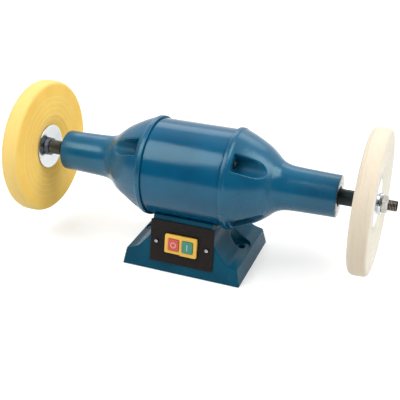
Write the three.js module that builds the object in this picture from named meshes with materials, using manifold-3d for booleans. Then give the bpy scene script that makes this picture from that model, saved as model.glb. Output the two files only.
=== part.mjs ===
// Double-ended bench polishing machine.
// Millimetres, +Z up, the shaft along X, the origin on the bench under the middle of the base.
import * as THREE from "three";
import { mergeVertices } from "three/addons/utils/BufferGeometryUtils.js";
import Module from "manifold-3d";

const wasm = await Module();
wasm.setup();

// Clearances
const fitGap = 0.3;
const runningGap = 0.5;
const slideGap = 0.4;
const cutOverrun = 2;

// Facets round the turned pieces
const barrelFacets = 32;
const wheelFacets = 36;
const ringFacets = 20;
const pocketFacets = 12;
const smallFacets = 10;
const arcFacets = 5;
const cornerFacets = 2;
const quarterTurn = Math.PI / 2;
const fullTurn = 2 * Math.PI;

// Motor housing and stator
const saddleHeight = 68;
const housingHalf = 59.3;
const housingRadius = 72.3;
const housingWall = 4.4;
const statorInset = 21.3;
const statorYoke = 7.5;
const statorSlots = 12;
const slotDepth = 13;
const slotWidth = 5;
const windingReach = 16;
const windingStep = 2.5;
const windingBoltGap = 5;
const windingRoundShare = 0.3;
const wireHoleRadius = 3;
const wireHoleInset = 3.2;

// End bells and their necks
const bellLength = 154.8;
const bellRimStep = 3.1;
const bellRimWidth = 6;
const bellRimChamfer = 1.6;
const bellShoulderStep = 0.2;
const bellShoulderRun = 10.4;
const domeLength = 74;
const domeWall = 5.5;
const neckWall = 6.5;
const neckTaper = 1.8;
const neckRelief = 0.8;
const neckEdgeChamfer = 0.8;
const endWall = 7;
const spigotLength = 4;
const spigotWall = 3.5;
const seatLead = 1.2;
// Along the dome, and down from the shoulder to the neck
const domeShares = [
  [0.054, 0.967],
  [0.189, 0.866],
  [0.351, 0.72],
  [0.514, 0.55],
  [0.649, 0.36],
  [0.757, 0.19],
  [0.865, 0.077],
  [1, 0.017],
];
const domeInnerShares = [
  [0.108, 0.928],
  [0.432, 0.612],
  [0.703, 0.22],
  [1, 0],
];
const domeSkewShare = 0.5;

// Tie bolts and the pockets that they sit in
const tieInset = 7.5;
const tieBoltRadius = 3;
const tieHeadRadius = 5.4;
const tieHeadHeight = 4.4;
const tieNutFlats = 10;
const tieNutThickness = 5;
const tieBoltEnd = 2;
const pocketRadius = 13;
const pocketWall = 4;
const pocketStart = 12.4;
const lugThickness = 8;
const pocketReach = 50;

// Bearings, their preload washers and the dust seals
const bearingRadius = 23.5;
const bearingWidth = 14;
const bearingWall = 3.5;
const ballGap = 0.45;
const ballCount = 8;
const cageHalfWall = 0.9;
const cageWidth = 5;
const preloadSpace = 1.4;
const preloadThickness = 0.5;
const preloadWave = 0.2;
const preloadWaves = 3;
const preloadFacets = 36;
const preloadWall = 2.9;
const sealWidth = 3;
const sealWall = 2.8;

// Rotor and spindle
const airGap = 0.7;
const endRingWidth = 8;
const endRingRecess = 1;
// From the rotor's bore to its rim
const endRingInnerShare = 0.388;
const endRingOuterShare = 0.888;
const rotorSeatLead = 6;
const shaftRadius = 11;
const rotorSeatStep = 1;
const bearingSeatStep = 1;
const threadRadius = 8;
const threadShown = 12.7;
const threadChamfer = 1.4;

// Sleeve, jam nut and flanges on each end of the spindle
const sleeveLength = 40.7;
const sleeveStep = 0.4;
const jamNutFlats = 27;
const jamNutThickness = 6;
const outerNutFlats = 24;
const outerNutThickness = 8;
const flangeRadius = 34.6;
const flangeRim = 2.4;
const flangeRimChamfer = 0.8;
const flangeDish = 2.2;
const flangeHubRadius = 15;
const flangeDepth = 8;
const flangeLand = 8;
const flangeRecess = 1.4;
const saucerThickness = 2;
const saucerDepth = 5;
const saucerFloor = 17.5;
const saucerLip = 1.6;

// Buffs
const buffThickness = 26.6;
const buffHubThickness = 9;
const buffHubShift = 1.5;
const buffRadius = 103.8;
const buffCrown = 4.6;
const buffSwellRun = 14.7;
const buffSwellShare = 0.5;
const buffEdgeShares = [
  [0.6, 0.06],
  [0.85, 0.17],
];

// Base casting
const baseHalfLength = 93.7;
const baseStep = 2.3;
const baseWall = 5;
const baseLean = THREE.MathUtils.degToRad(10);
const footHeight = 26;
const footDraft = 5.5;
const towerInset = 12.1;
const towerDraft = 1;
const saddleHorn = 19.4;
const blendTop = 66;
const baseCorner = 2.5;
const saddleWall = 6;
// Out from the tower to the foot's edge, and up from the foot to the tower
const blendShares = [
  [0.87, 0.03],
  [0.68, 0.09],
  [0.5, 0.21],
  [0.35, 0.38],
  [0.2, 0.56],
  [0.07, 0.76],
];
const benchBoltInset = 21.7;
const benchBoltY = 5;
const benchHoleRadius = 5;
const benchSeatSink = 2;
const benchSeatRadius = 13.5;
const benchFlareRadius = 17.8;
const benchFlareTop = 50;
const benchSeatFloor = 6;
const benchColumnRadius = 9;
const coverBossRadius = 5;
const coverBossInsetX = 17.5;
const coverBossInsetY = 20;

// Bottom cover and its screws
const coverRecess = 2.6;
const coverThickness = 1.5;
const coverHoleGap = 0.7;
const coverScrewRadius = 1.9;
const coverScrewHead = 3.6;
const coverScrewHeadHeight = 2;
const coverScrewLength = 9;

// Saddle bolts
const saddleBoltInset = 17.2;
const saddleBoltRadius = 4;
const saddleHeadRadius = 6.5;
const saddleHeadHeight = 5;

// Switch panel, in the plane of the base's leaning front
const plateX = 1.3;
const plateOverhang = 2.7;
const plateLow = 16.2;
const plateTopGap = 5.2;
const plateThickness = 2.2;
const plateScrewInset = 10;
const plateScrewDrop = 0.5;
const plateScrewRadius = 1.8;
const plateScrewHead = 3.4;
const plateScrewHeadHeight = 2;
const plateScrewLength = 9;
const switchX = 1.4;
const switchDrop = 0.5;
const bezelLip = 2.1;
const bezelThickness = 4;
const bezelCorner = 2;
const buttonWidth = 17.6;
const buttonHeight = 18.6;
const buttonPitch = 21.4;
const buttonProud = 1.5;
const buttonRoot = 4;
const buttonTravel = 3;
const switchDepth = 32;
const switchSideWall = 3.5;
const switchTopWall = 3.7;
const wallWindowMargin = 1.4;

// Electrical pieces inside the base
const capacitorRadius = 13;
const capacitorLength = 60;
const capacitorX = -8;
const capacitorCrimp = 1;
const clampThickness = 1.5;
const clampWidth = 14;
const clampFoot = 8;
const clampGap = 4.2;
const terminalLength = 44;
const terminalHeight = 13;
const terminalDepth = 14;
const terminalInset = 22;
const terminalWays = 4;
const terminalNotchShare = 0.5;
const terminalNotchDepth = 5;

// Cable gland in the base's back
const glandX = 28;
const glandHeight = 30;
const glandThreadRadius = 8;
const glandInnerLength = 14;
const glandHexStep = 4;
const glandHexLength = 6;
const glandDomeStep = 2;
const glandDomeLength = 12;
const glandMouthRadius = 4.5;
const glandMouthDepth = 2.5;
const glandTipShare = 0.7;
const locknutThickness = 5;
const locknutWall = 3;

// Sizes that follow from the sizes above
const shaftHeight = saddleHeight + housingRadius;
const housingBore = housingRadius - housingWall;
const tieCircle = housingBore - tieInset;
const statorHalf = housingHalf - statorInset;
const statorBore = tieCircle - statorYoke - slotDepth;
const windingInner = statorBore + windingStep;
const windingOuter = tieCircle - windingBoltGap;
const rotorRadius = statorBore - airGap;
const rotorSeatRadius = shaftRadius + rotorSeatStep;
const bearingSeatRadius = shaftRadius - bearingSeatStep;
const sleeveRadius = shaftRadius + sleeveStep;
const innerRingRadius = bearingSeatRadius + bearingWall;
const ballRadius = (bearingRadius - bearingWall - innerRingRadius) / 2 - ballGap;
const preloadInner = bearingRadius - preloadWall;
const endBoreRadius = sleeveRadius + runningGap + sealWall + fitGap;
const bellRimRadius = housingRadius + bellRimStep;
const bellShoulderRadius = housingRadius + bellShoulderStep;
const bearingSeatBore = bearingRadius + fitGap;
const neckBoreRadius = bearingSeatBore + neckRelief;
const neckEndRadius = bearingSeatBore + neckWall;
const neckRootRadius = neckEndRadius + neckTaper;
const buffShoulder = buffRadius - buffCrown;
const buffSwell = flangeRadius + buffSwellRun;
const baseHalfWidth = housingRadius - baseStep;
const towerHalf = housingHalf - towerInset;
const towerTop = saddleHeight + saddleHorn;
const benchBoltX = baseHalfLength - benchBoltInset;
const benchSeatHeight = footHeight - benchSeatSink;
const coverBossX = baseHalfLength - coverBossInsetX;
const coverBossY = baseHalfWidth - coverBossInsetY;
const saddleBoltX = towerHalf - saddleBoltInset;
const plateHalfWidth = towerHalf + plateOverhang;
const plateHeight = towerTop - plateLow - plateTopGap;
const plateScrewSpread = plateHalfWidth - plateScrewInset;
const plateScrewHeight = plateLow + plateHeight / 2 - plateScrewDrop;
const switchHeight = plateLow + plateHeight / 2 - switchDrop;
const clampReach = capacitorRadius + fitGap + clampThickness + clampFoot;
const terminalY = baseHalfWidth - terminalInset;
const capacitorY = terminalY - terminalDepth / 2 - clampGap - clampReach;
const glandHexRadius = glandThreadRadius + glandHexStep;
const glandDomeRadius = glandThreadRadius + glandDomeStep;
const locknutFlats = 2 * (glandThreadRadius + locknutWall);

// Places that follow from the sizes above
const bellStart = housingHalf + fitGap;
const domeStart = bellStart + bellShoulderRun;
const neckEnd = bellStart + bellLength;
const bearingOut = neckEnd - endWall - preloadSpace;
const bearingIn = bearingOut - bearingWidth;
const ballCircle = (innerRingRadius + bearingRadius - bearingWall) / 2;
const sleeveStart = bearingOut + fitGap;
const sleeveEnd = sleeveStart + sleeveLength;
const jamNutStart = sleeveEnd + fitGap;
const innerFlangeStart = jamNutStart + jamNutThickness + fitGap;
const innerFlangeFace = innerFlangeStart + saucerThickness;
const buffHubStart = innerFlangeFace + fitGap;
const buffCentre = buffHubStart + buffHubThickness / 2 - buffHubShift;
const outerFlangeFace = buffHubStart + buffHubThickness + fitGap;
const outerFlangeEnd = outerFlangeFace + flangeDepth;
const outerNutStart = outerFlangeEnd + fitGap;
const spindleHalf = outerNutStart + outerNutThickness + threadShown;
const pocketSeat = bellStart + pocketStart;
const coverBottom = coverRecess;
const coverTop = coverBottom + coverThickness;
const bossBottom = coverTop + fitGap;
const saddleRadius = housingRadius + fitGap;
const cavityRoofRadius = saddleRadius + saddleWall;
const plateFront = fitGap + plateThickness;
const bezelBack = plateFront + fitGap;
const bezelFront = bezelBack + bezelThickness;
const buttonHoleWidth = buttonWidth + 2 * slideGap;
const buttonHoleHeight = buttonHeight + 2 * slideGap;
const switchBodyWidth = buttonPitch + buttonHoleWidth + 2 * switchSideWall;
const switchBodyHeight = buttonHoleHeight + 2 * switchTopWall;
const bezelWidth = switchBodyWidth + 2 * bezelLip;
const bezelHeight = switchBodyHeight + 2 * bezelLip;
const sides = [-1, 1];

// A closed mesh as a solid, with its shared corners merged
function solid(geometry) {
  const bare = new THREE.BufferGeometry();
  bare.setAttribute("position", geometry.getAttribute("position"));
  if (geometry.index) bare.setIndex(geometry.index);
  const merged = mergeVertices(bare);
  const found = merged.index.array;
  const triVerts = [];
  for (let i = 0; i < found.length; i += 3) {
    const [a, b, c] = [found[i], found[i + 1], found[i + 2]];
    if (a !== b && b !== c && c !== a) triVerts.push(a, b, c);
  }
  const vertProperties = merged.attributes.position.array;
  const data = { numProp: 3, vertProperties, triVerts: new Uint32Array(triVerts) };
  return new wasm.Manifold(new wasm.Mesh(data));
}

// A solid as a geometry again
function shaped(body) {
  const mesh = body.getMesh();
  const places = [];
  for (let i = 0; i < mesh.vertProperties.length; i += mesh.numProp) {
    places.push(...mesh.vertProperties.subarray(i, i + 3));
  }
  const geometry = new THREE.BufferGeometry();
  geometry.setAttribute("position", new THREE.Float32BufferAttribute(places, 3));
  geometry.setIndex([...mesh.triVerts]);
  geometry.computeVertexNormals();
  return geometry;
}

// Twice the area of an outline, positive when it runs anticlockwise
function windingOf(points) {
  return points.reduce((sum, p, i) => {
    const q = points[(i + 1) % points.length];
    return sum + p.x * q.y - q.x * p.y;
  }, 0);
}

// A lathe form from pairs of place along the axis and radius, about the vertical Y axis
function lathe(outline, facets) {
  const points = outline.map(([place, radius]) => new THREE.Vector2(radius, place));
  if (windingOf(points) < 0) points.reverse();
  const onAxis = points[0].x === 0 && points[points.length - 1].x === 0;
  if (!onAxis) points.push(points[0].clone());
  return new THREE.LatheGeometry(points, facets);
}

// The same form turned about the shaft's direction, or standing upright
const turned = (outline, facets) => lathe(outline, facets).rotateZ(-quarterTurn);
const upright = (outline, facets) => lathe(outline, facets).rotateX(quarterTurn);

// Outlines of a rod and of a ring between two places along the axis
const rod = (start, end, radius) => [
  [start, 0],
  [start, radius],
  [end, radius],
  [end, 0],
];
const ring = (start, end, inner, outer) => [
  [start, inner],
  [start, outer],
  [end, outer],
  [end, inner],
];

// A flat outline drawn out to a depth, along Z
function extruded(outline, depth, holes = [], facets = arcFacets) {
  const shape = outline instanceof THREE.Shape ? outline : pathOf(outline);
  shape.holes.push(...holes);
  const options = { depth, bevelEnabled: false, curveSegments: facets };
  return new THREE.ExtrudeGeometry(shape, options);
}

// A shape from pairs of numbers
function pathOf(pairs) {
  return new THREE.Shape(pairs.map(([x, y]) => new THREE.Vector2(x, y)));
}

// A round hole for a flat outline
function roundHole(x, y, radius) {
  return new THREE.Path().absarc(x, y, radius, 0, fullTurn, true);
}

// A rectangle about a point, as pairs
function rectangle(x, y, width, height) {
  const [right, top] = [x + width / 2, y + height / 2];
  const [left, bottom] = [x - width / 2, y - height / 2];
  return [
    [left, bottom],
    [right, bottom],
    [right, top],
    [left, top],
  ];
}

// A rectangle about a point with rounded corners
function roundedRectangle(x, y, width, height, corner) {
  const shape = new THREE.Shape();
  const [right, top] = [x + width / 2 - corner, y + height / 2 - corner];
  const [left, bottom] = [x - width / 2 + corner, y - height / 2 + corner];
  shape.absarc(right, top, corner, 0, quarterTurn);
  shape.absarc(left, top, corner, quarterTurn, 2 * quarterTurn);
  shape.absarc(left, bottom, corner, 2 * quarterTurn, 3 * quarterTurn);
  shape.absarc(right, bottom, corner, 3 * quarterTurn, fullTurn);
  return shape;
}

// The corners of a regular polygon about the origin
function polygon(radius, corners) {
  return Array.from({ length: corners }, (_, i) => {
    const angle = (i * fullTurn) / corners;
    return [radius * Math.cos(angle), radius * Math.sin(angle)];
  });
}

// A hexagon of a given size across its flats
const hexagon = (flats) => polygon(flats / 2 / Math.cos(Math.PI / 6), 6);

// A hexagonal nut, its thickness along the shaft
function shaftNut(flats, bore, start, thickness) {
  const nut = extruded(hexagon(flats), thickness, [pathOf(polygon(bore, ringFacets))]);
  return nut.rotateY(quarterTurn).translate(start, 0, 0);
}

// A screw or bolt with its head above the origin and its shank below it
function screw(headRadius, headHeight, shankRadius, shankLength) {
  const outline = [
    [-shankLength, 0],
    [-shankLength, shankRadius],
    [0, shankRadius],
    [0, headRadius],
    [headHeight, headRadius],
    [headHeight, 0],
  ];
  return upright(outline, smallFacets);
}

// The housing's tube, with the holes for its bolts and for the wires
function motorHousing() {
  const tube = solid(turned(ring(-housingHalf, housingHalf, housingBore, housingRadius), barrelFacets));
  const low = -housingRadius - cutOverrun;
  const high = -housingBore + cutOverrun;
  const wires = upright(rod(low, high, wireHoleRadius), smallFacets);
  let cut = tube.subtract(solid(wires.translate(statorHalf + wireHoleInset, 0, 0)));
  for (const side of sides) {
    const hole = upright(rod(low, high, saddleBoltRadius + fitGap), smallFacets);
    cut = cut.subtract(solid(hole.translate(side * saddleBoltX, 0, 0)));
  }
  return shaped(cut);
}

// The outer form of a bell, from its rim to the end of its neck
function bellOutline() {
  const drop = bellShoulderRadius - neckRootRadius;
  const dome = domeShares.map(([along, up]) => [
    domeStart + along * domeLength,
    neckRootRadius + up * drop,
  ]);
  return [
    [bellStart, bellRimRadius],
    [bellStart + bellRimWidth, bellRimRadius],
    [bellStart + bellRimWidth + bellRimChamfer, bellRimRadius - bellRimChamfer],
    [domeStart, bellShoulderRadius],
    ...dome,
    [neckEnd - neckEdgeChamfer, neckEndRadius],
    [neckEnd, neckEndRadius - neckEdgeChamfer],
  ];
}

// The hollow of a bell, from the end of its neck back to its rim
function bellHollow() {
  const drop = bellShoulderRadius - neckRootRadius;
  const dome = domeInnerShares.map(([along, up]) => [
    domeStart + along * domeLength - domeSkewShare * domeWall,
    neckRootRadius + up * drop - domeWall,
  ]);
  const spigotBore = housingBore - fitGap - spigotWall;
  const wallStart = neckEnd - endWall;
  return [
    [neckEnd, endBoreRadius],
    [wallStart, endBoreRadius],
    [wallStart, bearingSeatBore],
    [bearingIn - seatLead, bearingSeatBore],
    [bearingIn - seatLead, neckBoreRadius],
    [domeStart + domeLength + domeWall, neckBoreRadius],
    ...dome.reverse(),
    [domeStart - domeWall, spigotBore],
    [bellStart - spigotLength, spigotBore],
  ];
}

// A bolt pocket's section along the shaft: round under the bolt, open outwards between straight walls
function pocketSection(radius) {
  const reach = bellRimRadius - tieCircle + cutOverrun;
  const shape = new THREE.Shape();
  shape.absarc(0, 0, radius, -quarterTurn, quarterTurn);
  shape.lineTo(-reach, radius);
  shape.lineTo(-reach, -radius);
  return shape;
}

// That section drawn out along the shaft between two places
function pocketRun(start, end, radius) {
  const run = extruded(pocketSection(radius), end - start, [], pocketFacets / 2);
  return run.rotateY(quarterTurn).translate(start, 0, 0);
}

// The right-hand bell: shell, spigot, bolt lugs and the four pockets
function endBell() {
  const outline = bellOutline();
  const spigotRadius = housingBore - fitGap;
  const spigot = [
    [bellStart - spigotLength, spigotRadius],
    [bellStart, spigotRadius],
  ];
  const shell = solid(turned([...spigot, ...outline, ...bellHollow()], barrelFacets));
  const filled = solid(turned([[bellStart, 0], ...outline, [neckEnd, 0]], barrelFacets));
  const pocketEnd = pocketSeat + pocketReach;
  let bell = shell;
  const cuts = [];
  for (let i = 0; i < 4; i++) {
    const turn = (geometry) => geometry.translate(0, 0, tieCircle).rotateX((i + 0.5) * quarterTurn);
    const lug = turn(pocketRun(pocketSeat - lugThickness, pocketEnd, pocketRadius + pocketWall));
    bell = bell.add(solid(lug).intersect(filled));
    cuts.push(turn(pocketRun(pocketSeat, pocketEnd, pocketRadius)));
    const holeStart = pocketSeat - lugThickness - cutOverrun;
    cuts.push(turn(turned(rod(holeStart, pocketSeat + cutOverrun, tieBoltRadius + fitGap), smallFacets)));
  }
  for (const cut of cuts) bell = bell.subtract(solid(cut));
  return shaped(bell);
}

// Stator stack with its slots and the holes for the tie bolts
function statorCore() {
  const points = [];
  const bottom = statorBore + slotDepth;
  for (let i = 0; i < statorSlots; i++) {
    const middle = (i * fullTurn) / statorSlots;
    const near = Math.asin(slotWidth / 2 / statorBore);
    const far = Math.asin(slotWidth / 2 / bottom);
    points.push([statorBore, middle - near], [bottom, middle - far]);
    points.push([bottom, middle + far], [statorBore, middle + near]);
    points.push([statorBore, middle + Math.PI / statorSlots]);
  }
  const bore = new THREE.Path(points.map(([r, a]) => new THREE.Vector2(r * Math.cos(a), r * Math.sin(a))));
  const holes = [0, 1, 2, 3].map((i) => {
    const angle = (i + 0.5) * quarterTurn;
    return roundHole(tieCircle * Math.cos(angle), tieCircle * Math.sin(angle), tieBoltRadius + fitGap);
  });
  const core = extruded(polygon(housingBore - fitGap, barrelFacets), 2 * statorHalf, [bore, ...holes]);
  return core.rotateY(quarterTurn).translate(-statorHalf, 0, 0);
}

// End turns of the winding, a rounded ring against the stator
function winding(side) {
  const start = statorHalf + fitGap;
  const end = start + windingReach;
  const [width, depth] = [windingReach * windingRoundShare, (windingOuter - windingInner) * windingRoundShare];
  const outline = [
    [start, windingInner],
    [start, windingOuter],
    [end - width, windingOuter],
    [end, windingOuter - depth],
    [end, windingInner + depth],
    [end - width, windingInner],
  ];
  return turned(outline.map(([x, r]) => [side * x, r]), ringFacets);
}

// Rotor stack with the end rings of its cage
function rotorCore() {
  const bore = rotorSeatRadius + fitGap;
  const endRingInner = bore + endRingInnerShare * (rotorRadius - bore);
  const endRingOuter = bore + endRingOuterShare * (rotorRadius - bore);
  const ringEnd = statorHalf + endRingWidth;
  const stepEnd = statorHalf - endRingRecess;
  const half = [
    [stepEnd, bore],
    [stepEnd, endRingInner],
    [ringEnd, endRingInner],
    [ringEnd, endRingOuter],
    [statorHalf, endRingOuter],
    [statorHalf, rotorRadius],
  ];
  const otherHalf = half.map(([x, r]) => [-x, r]).reverse();
  return turned([...half, ...otherHalf], ringFacets);
}

// Spindle: rotor seat, long journals, bearing seats and threaded ends
function spindleShaft() {
  const half = [
    [statorHalf + rotorSeatLead, rotorSeatRadius],
    [statorHalf + rotorSeatLead, shaftRadius],
    [bearingIn - fitGap, shaftRadius],
    [bearingIn - fitGap, bearingSeatRadius],
    [sleeveEnd, bearingSeatRadius],
    [sleeveEnd, threadRadius],
    [spindleHalf - threadChamfer, threadRadius],
    [spindleHalf, threadRadius - threadChamfer],
    [spindleHalf, 0],
  ];
  const otherHalf = half.map(([x, r]) => [-x, r]).reverse();
  return turned([...otherHalf, ...half], ringFacets);
}

// A ring on the shaft, mirrored for the left-hand end
function shaftRing(side, start, end, inner, outer, facets = ringFacets) {
  return turned(ring(side * start, side * end, inner, outer), facets);
}

// Balls of one bearing, held by their cage
function ballCage(side) {
  const middle = side * (bearingIn + bearingWidth / 2);
  const [start, end] = [middle - cageWidth / 2, middle + cageWidth / 2];
  const [inner, outer] = [ballCircle - cageHalfWall, ballCircle + cageHalfWall];
  let cage = solid(turned(ring(start, end, inner, outer), 2 * ballCount));
  for (let i = 0; i < ballCount; i++) {
    const ball = new THREE.IcosahedronGeometry(ballRadius).translate(middle, 0, ballCircle);
    cage = cage.add(solid(ball.rotateX((i * fullTurn) / ballCount)));
  }
  return shaped(cage);
}

// A thin ring that waves along the shaft, between a bearing and its end wall
function preloadWasher(side) {
  const middle = side * (bearingOut + preloadSpace / 2);
  const outer = bearingRadius - fitGap;
  const half = preloadThickness / 2;
  const places = [];
  const faces = [];
  for (let i = 0; i < preloadFacets; i++) {
    const angle = (i * fullTurn) / preloadFacets;
    const centre = middle + preloadWave * Math.sin(preloadWaves * angle);
    const corners = [
      [centre - half, preloadInner],
      [centre - half, outer],
      [centre + half, outer],
      [centre + half, preloadInner],
    ];
    for (const [x, r] of corners) places.push(x, r * Math.cos(angle), r * Math.sin(angle));
    for (let j = 0; j < 4; j++) {
      const [a, b] = [4 * i + j, 4 * i + ((j + 1) % 4)];
      const [c, d] = [a, b].map((k) => (k + 4) % (4 * preloadFacets));
      faces.push(a, c, b, b, c, d);
    }
  }
  const washer = new THREE.BufferGeometry();
  washer.setAttribute("position", new THREE.Float32BufferAttribute(places, 3));
  washer.setIndex(faces);
  washer.computeVertexNormals();
  return washer;
}

// The outer clamping flange: its flat land presses the buff, and its hub faces the nut
function hubFlange(side, face) {
  const x = (back) => side * (face + back);
  const bore = threadRadius + fitGap;
  const outline = [
    [x(flangeDepth), bore],
    [x(flangeDepth), flangeHubRadius],
    [x(flangeRim + flangeDish), flangeHubRadius],
    [x(flangeRim), flangeRadius - flangeRimChamfer],
    [x(flangeRim - flangeRimChamfer), flangeRadius],
    [x(0), flangeRadius],
    [x(0), flangeRadius - flangeLand],
    [x(flangeRecess), flangeRadius - flangeLand],
    [x(flangeRecess), bore],
  ];
  return turned(outline, ringFacets);
}

// A saucer of sheet steel behind the buff: the jam nut sits in it, and its lip faces the motor
function saucerFlange(side, face) {
  const x = (back) => side * (face - back);
  const bore = threadRadius + fitGap;
  const outline = [
    [x(0), bore],
    [x(0), saucerFloor],
    [x(saucerDepth), flangeRadius - saucerLip],
    [x(saucerDepth), flangeRadius],
    [x(saucerDepth + saucerThickness), flangeRadius],
    [x(saucerDepth + saucerThickness), flangeRadius - saucerLip],
    [x(saucerThickness), saucerFloor],
    [x(saucerThickness), bore],
  ];
  return turned(side < 0 ? outline : outline.reverse(), ringFacets);
}

// One face of a buff: pinched at the hub, swelling to its full thickness, with a soft corner
function buffFace(hubFace, hubRadius, rimFace) {
  const half = buffThickness / 2;
  const clamp = flangeRadius + fitGap;
  const swell = clamp + (buffSwell - clamp) * buffSwellShare;
  const edge = buffRadius - buffShoulder;
  const corner = buffEdgeShares.map(([up, inward]) => [half - inward * buffThickness, buffShoulder + up * edge]);
  return [
    [hubFace, threadRadius + fitGap],
    [hubFace, hubRadius],
    [rimFace, clamp],
    [(rimFace + half) / 2, swell],
    [half, buffSwell],
    [half, buffShoulder],
    ...corner,
  ];
}

// A stitched cotton wheel between its two flanges, with a crowned rim
function buff(side) {
  const inner = buffHubThickness / 2 - buffHubShift;
  const outer = buffHubThickness / 2 + buffHubShift;
  const away = buffFace(outer, flangeRadius, outer);
  const near = buffFace(inner, saucerFloor, inner + saucerDepth).map(([x, r]) => [-x, r]);
  const outline = [...near, [0, buffRadius], ...away.reverse()];
  return turned(outline.map(([x, r]) => [side * (buffCentre + x), r]), wheelFacets);
}

// The base's side outline, as it is seen from the front, moved in by a wall
function sideOutline(inset, low) {
  const footEdge = baseHalfLength - footDraft;
  const blend = blendShares.map(([out, up]) => [
    towerHalf + out * (footEdge - towerHalf) - inset,
    footHeight + up * (blendTop - footHeight) - inset,
  ]);
  const right = [
    [baseHalfLength - inset, low],
    [footEdge - inset, footHeight - inset],
    ...blend,
    [towerHalf - inset, blendTop - inset],
    [towerHalf - towerDraft - inset, towerTop - inset],
  ];
  const left = right.map(([x, z]) => [-x, z]).reverse();
  return [...right, ...left];
}

// The base's end outline, as it is seen along the shaft, moved in by a wall
function endOutline(inset, low) {
  const reach = (height) => baseHalfWidth - height * Math.tan(baseLean) - inset / Math.cos(baseLean);
  return [
    [-reach(low), low],
    [reach(low), low],
    [reach(towerTop), towerTop],
    [-reach(towerTop), towerTop],
  ];
}

// The solid where the side outline and the end outline agree
function baseBlock(inset, low) {
  const alongY = extruded(sideOutline(inset, low), 2 * baseHalfWidth);
  alongY.rotateX(quarterTurn).translate(0, baseHalfWidth, 0);
  const alongX = extruded(endOutline(inset, low), 2 * baseHalfLength);
  alongX.rotateX(quarterTurn).rotateZ(quarterTurn).translate(-baseHalfLength, 0, 0);
  return solid(alongY).intersect(solid(alongX));
}

// Geometry drawn on the leaning front, and on the leaning back
const onFront = (geometry) => geometry.rotateX(quarterTurn - baseLean).translate(0, -baseHalfWidth, 0);
const onBack = (geometry) => onFront(geometry).rotateZ(2 * quarterTurn);

// Bosses inside the base: cups and columns for the bench bolts, and posts for the cover screws
function baseBosses(outer) {
  const bosses = [];
  for (const side of sides) {
    const floor = benchSeatHeight - benchSeatFloor;
    const cup = upright(rod(floor, towerTop, benchSeatRadius + baseWall), ringFacets);
    const column = upright(rod(0, benchSeatHeight, benchColumnRadius), ringFacets);
    for (const geometry of [cup, column]) {
      bosses.push(solid(geometry.translate(side * benchBoltX, benchBoltY, 0)));
    }
    for (const end of sides) {
      const post = upright(rod(bossBottom, footHeight, coverBossRadius), smallFacets);
      bosses.push(solid(post.translate(side * coverBossX, end * coverBossY, 0)));
    }
  }
  return bosses.map((boss) => boss.intersect(outer));
}

// Everything that is cut out of the base after its bosses are in
function baseCuts() {
  const cuts = [];
  for (const side of sides) {
    const flareRise = benchFlareTop - benchSeatHeight;
    const flareOver = (cutOverrun * (benchFlareRadius - benchSeatRadius)) / flareRise;
    const seat = [
      [benchSeatHeight, 0],
      [benchSeatHeight, benchSeatRadius],
      [benchFlareTop + cutOverrun, benchFlareRadius + flareOver],
      [benchFlareTop + cutOverrun, 0],
    ];
    const hole = rod(-cutOverrun, benchSeatHeight + cutOverrun, benchHoleRadius);
    for (const outline of [seat, hole]) {
      cuts.push(upright(outline, ringFacets).translate(side * benchBoltX, benchBoltY, 0));
    }
    const saddleHole = rod(shaftHeight - cavityRoofRadius - cutOverrun, shaftHeight, saddleBoltRadius + fitGap);
    cuts.push(upright(saddleHole, smallFacets).translate(side * saddleBoltX, 0, 0));
    const plateHole = upright(rod(-baseWall - cutOverrun, cutOverrun, plateScrewRadius + fitGap), smallFacets);
    cuts.push(onFront(plateHole.translate(plateX + side * plateScrewSpread, plateScrewHeight, 0)));
    for (const end of sides) {
      const top = coverBottom + coverScrewLength + cutOverrun;
      const pilot = upright(rod(bossBottom - cutOverrun, top, coverScrewRadius + fitGap), smallFacets);
      cuts.push(pilot.translate(side * coverBossX, end * coverBossY, 0));
    }
  }
  const barrel = turned(rod(-baseHalfLength, baseHalfLength, saddleRadius), barrelFacets);
  cuts.push(barrel.translate(0, 0, shaftHeight));
  const windowWidth = switchBodyWidth + 2 * wallWindowMargin;
  const windowHeight = switchBodyHeight + 2 * wallWindowMargin;
  const window = extruded(rectangle(switchX, switchHeight, windowWidth, windowHeight), baseWall + 2 * cutOverrun);
  cuts.push(onFront(window.translate(0, 0, -baseWall - cutOverrun)));
  const glandHole = upright(rod(-baseWall - cutOverrun, cutOverrun, glandThreadRadius + fitGap), ringFacets);
  cuts.push(onBack(glandHole.translate(glandX, glandHeight, 0)));
  const wires = upright(rod(shaftHeight - cavityRoofRadius - cutOverrun, shaftHeight, wireHoleRadius), smallFacets);
  cuts.push(wires.translate(statorHalf + wireHoleInset, 0, 0));
  return cuts;
}

// Base casting: a hollow plinth with two feet and a saddle for the housing
function baseCasting() {
  const corners = roundedRectangle(0, 0, 2 * baseHalfLength, 2 * baseHalfWidth, baseCorner);
  const footprint = solid(extruded(corners, towerTop + cutOverrun, [], cornerFacets));
  const outer = baseBlock(0, 0).intersect(footprint);
  const roof = turned(rod(-baseHalfLength, baseHalfLength, cavityRoofRadius), barrelFacets);
  const cavity = baseBlock(baseWall, -cutOverrun).subtract(solid(roof.translate(0, 0, shaftHeight)));
  let casting = outer.subtract(cavity);
  for (const boss of baseBosses(outer)) casting = casting.add(boss);
  for (const cut of baseCuts()) casting = casting.subtract(solid(cut));
  return shaped(casting);
}

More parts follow.
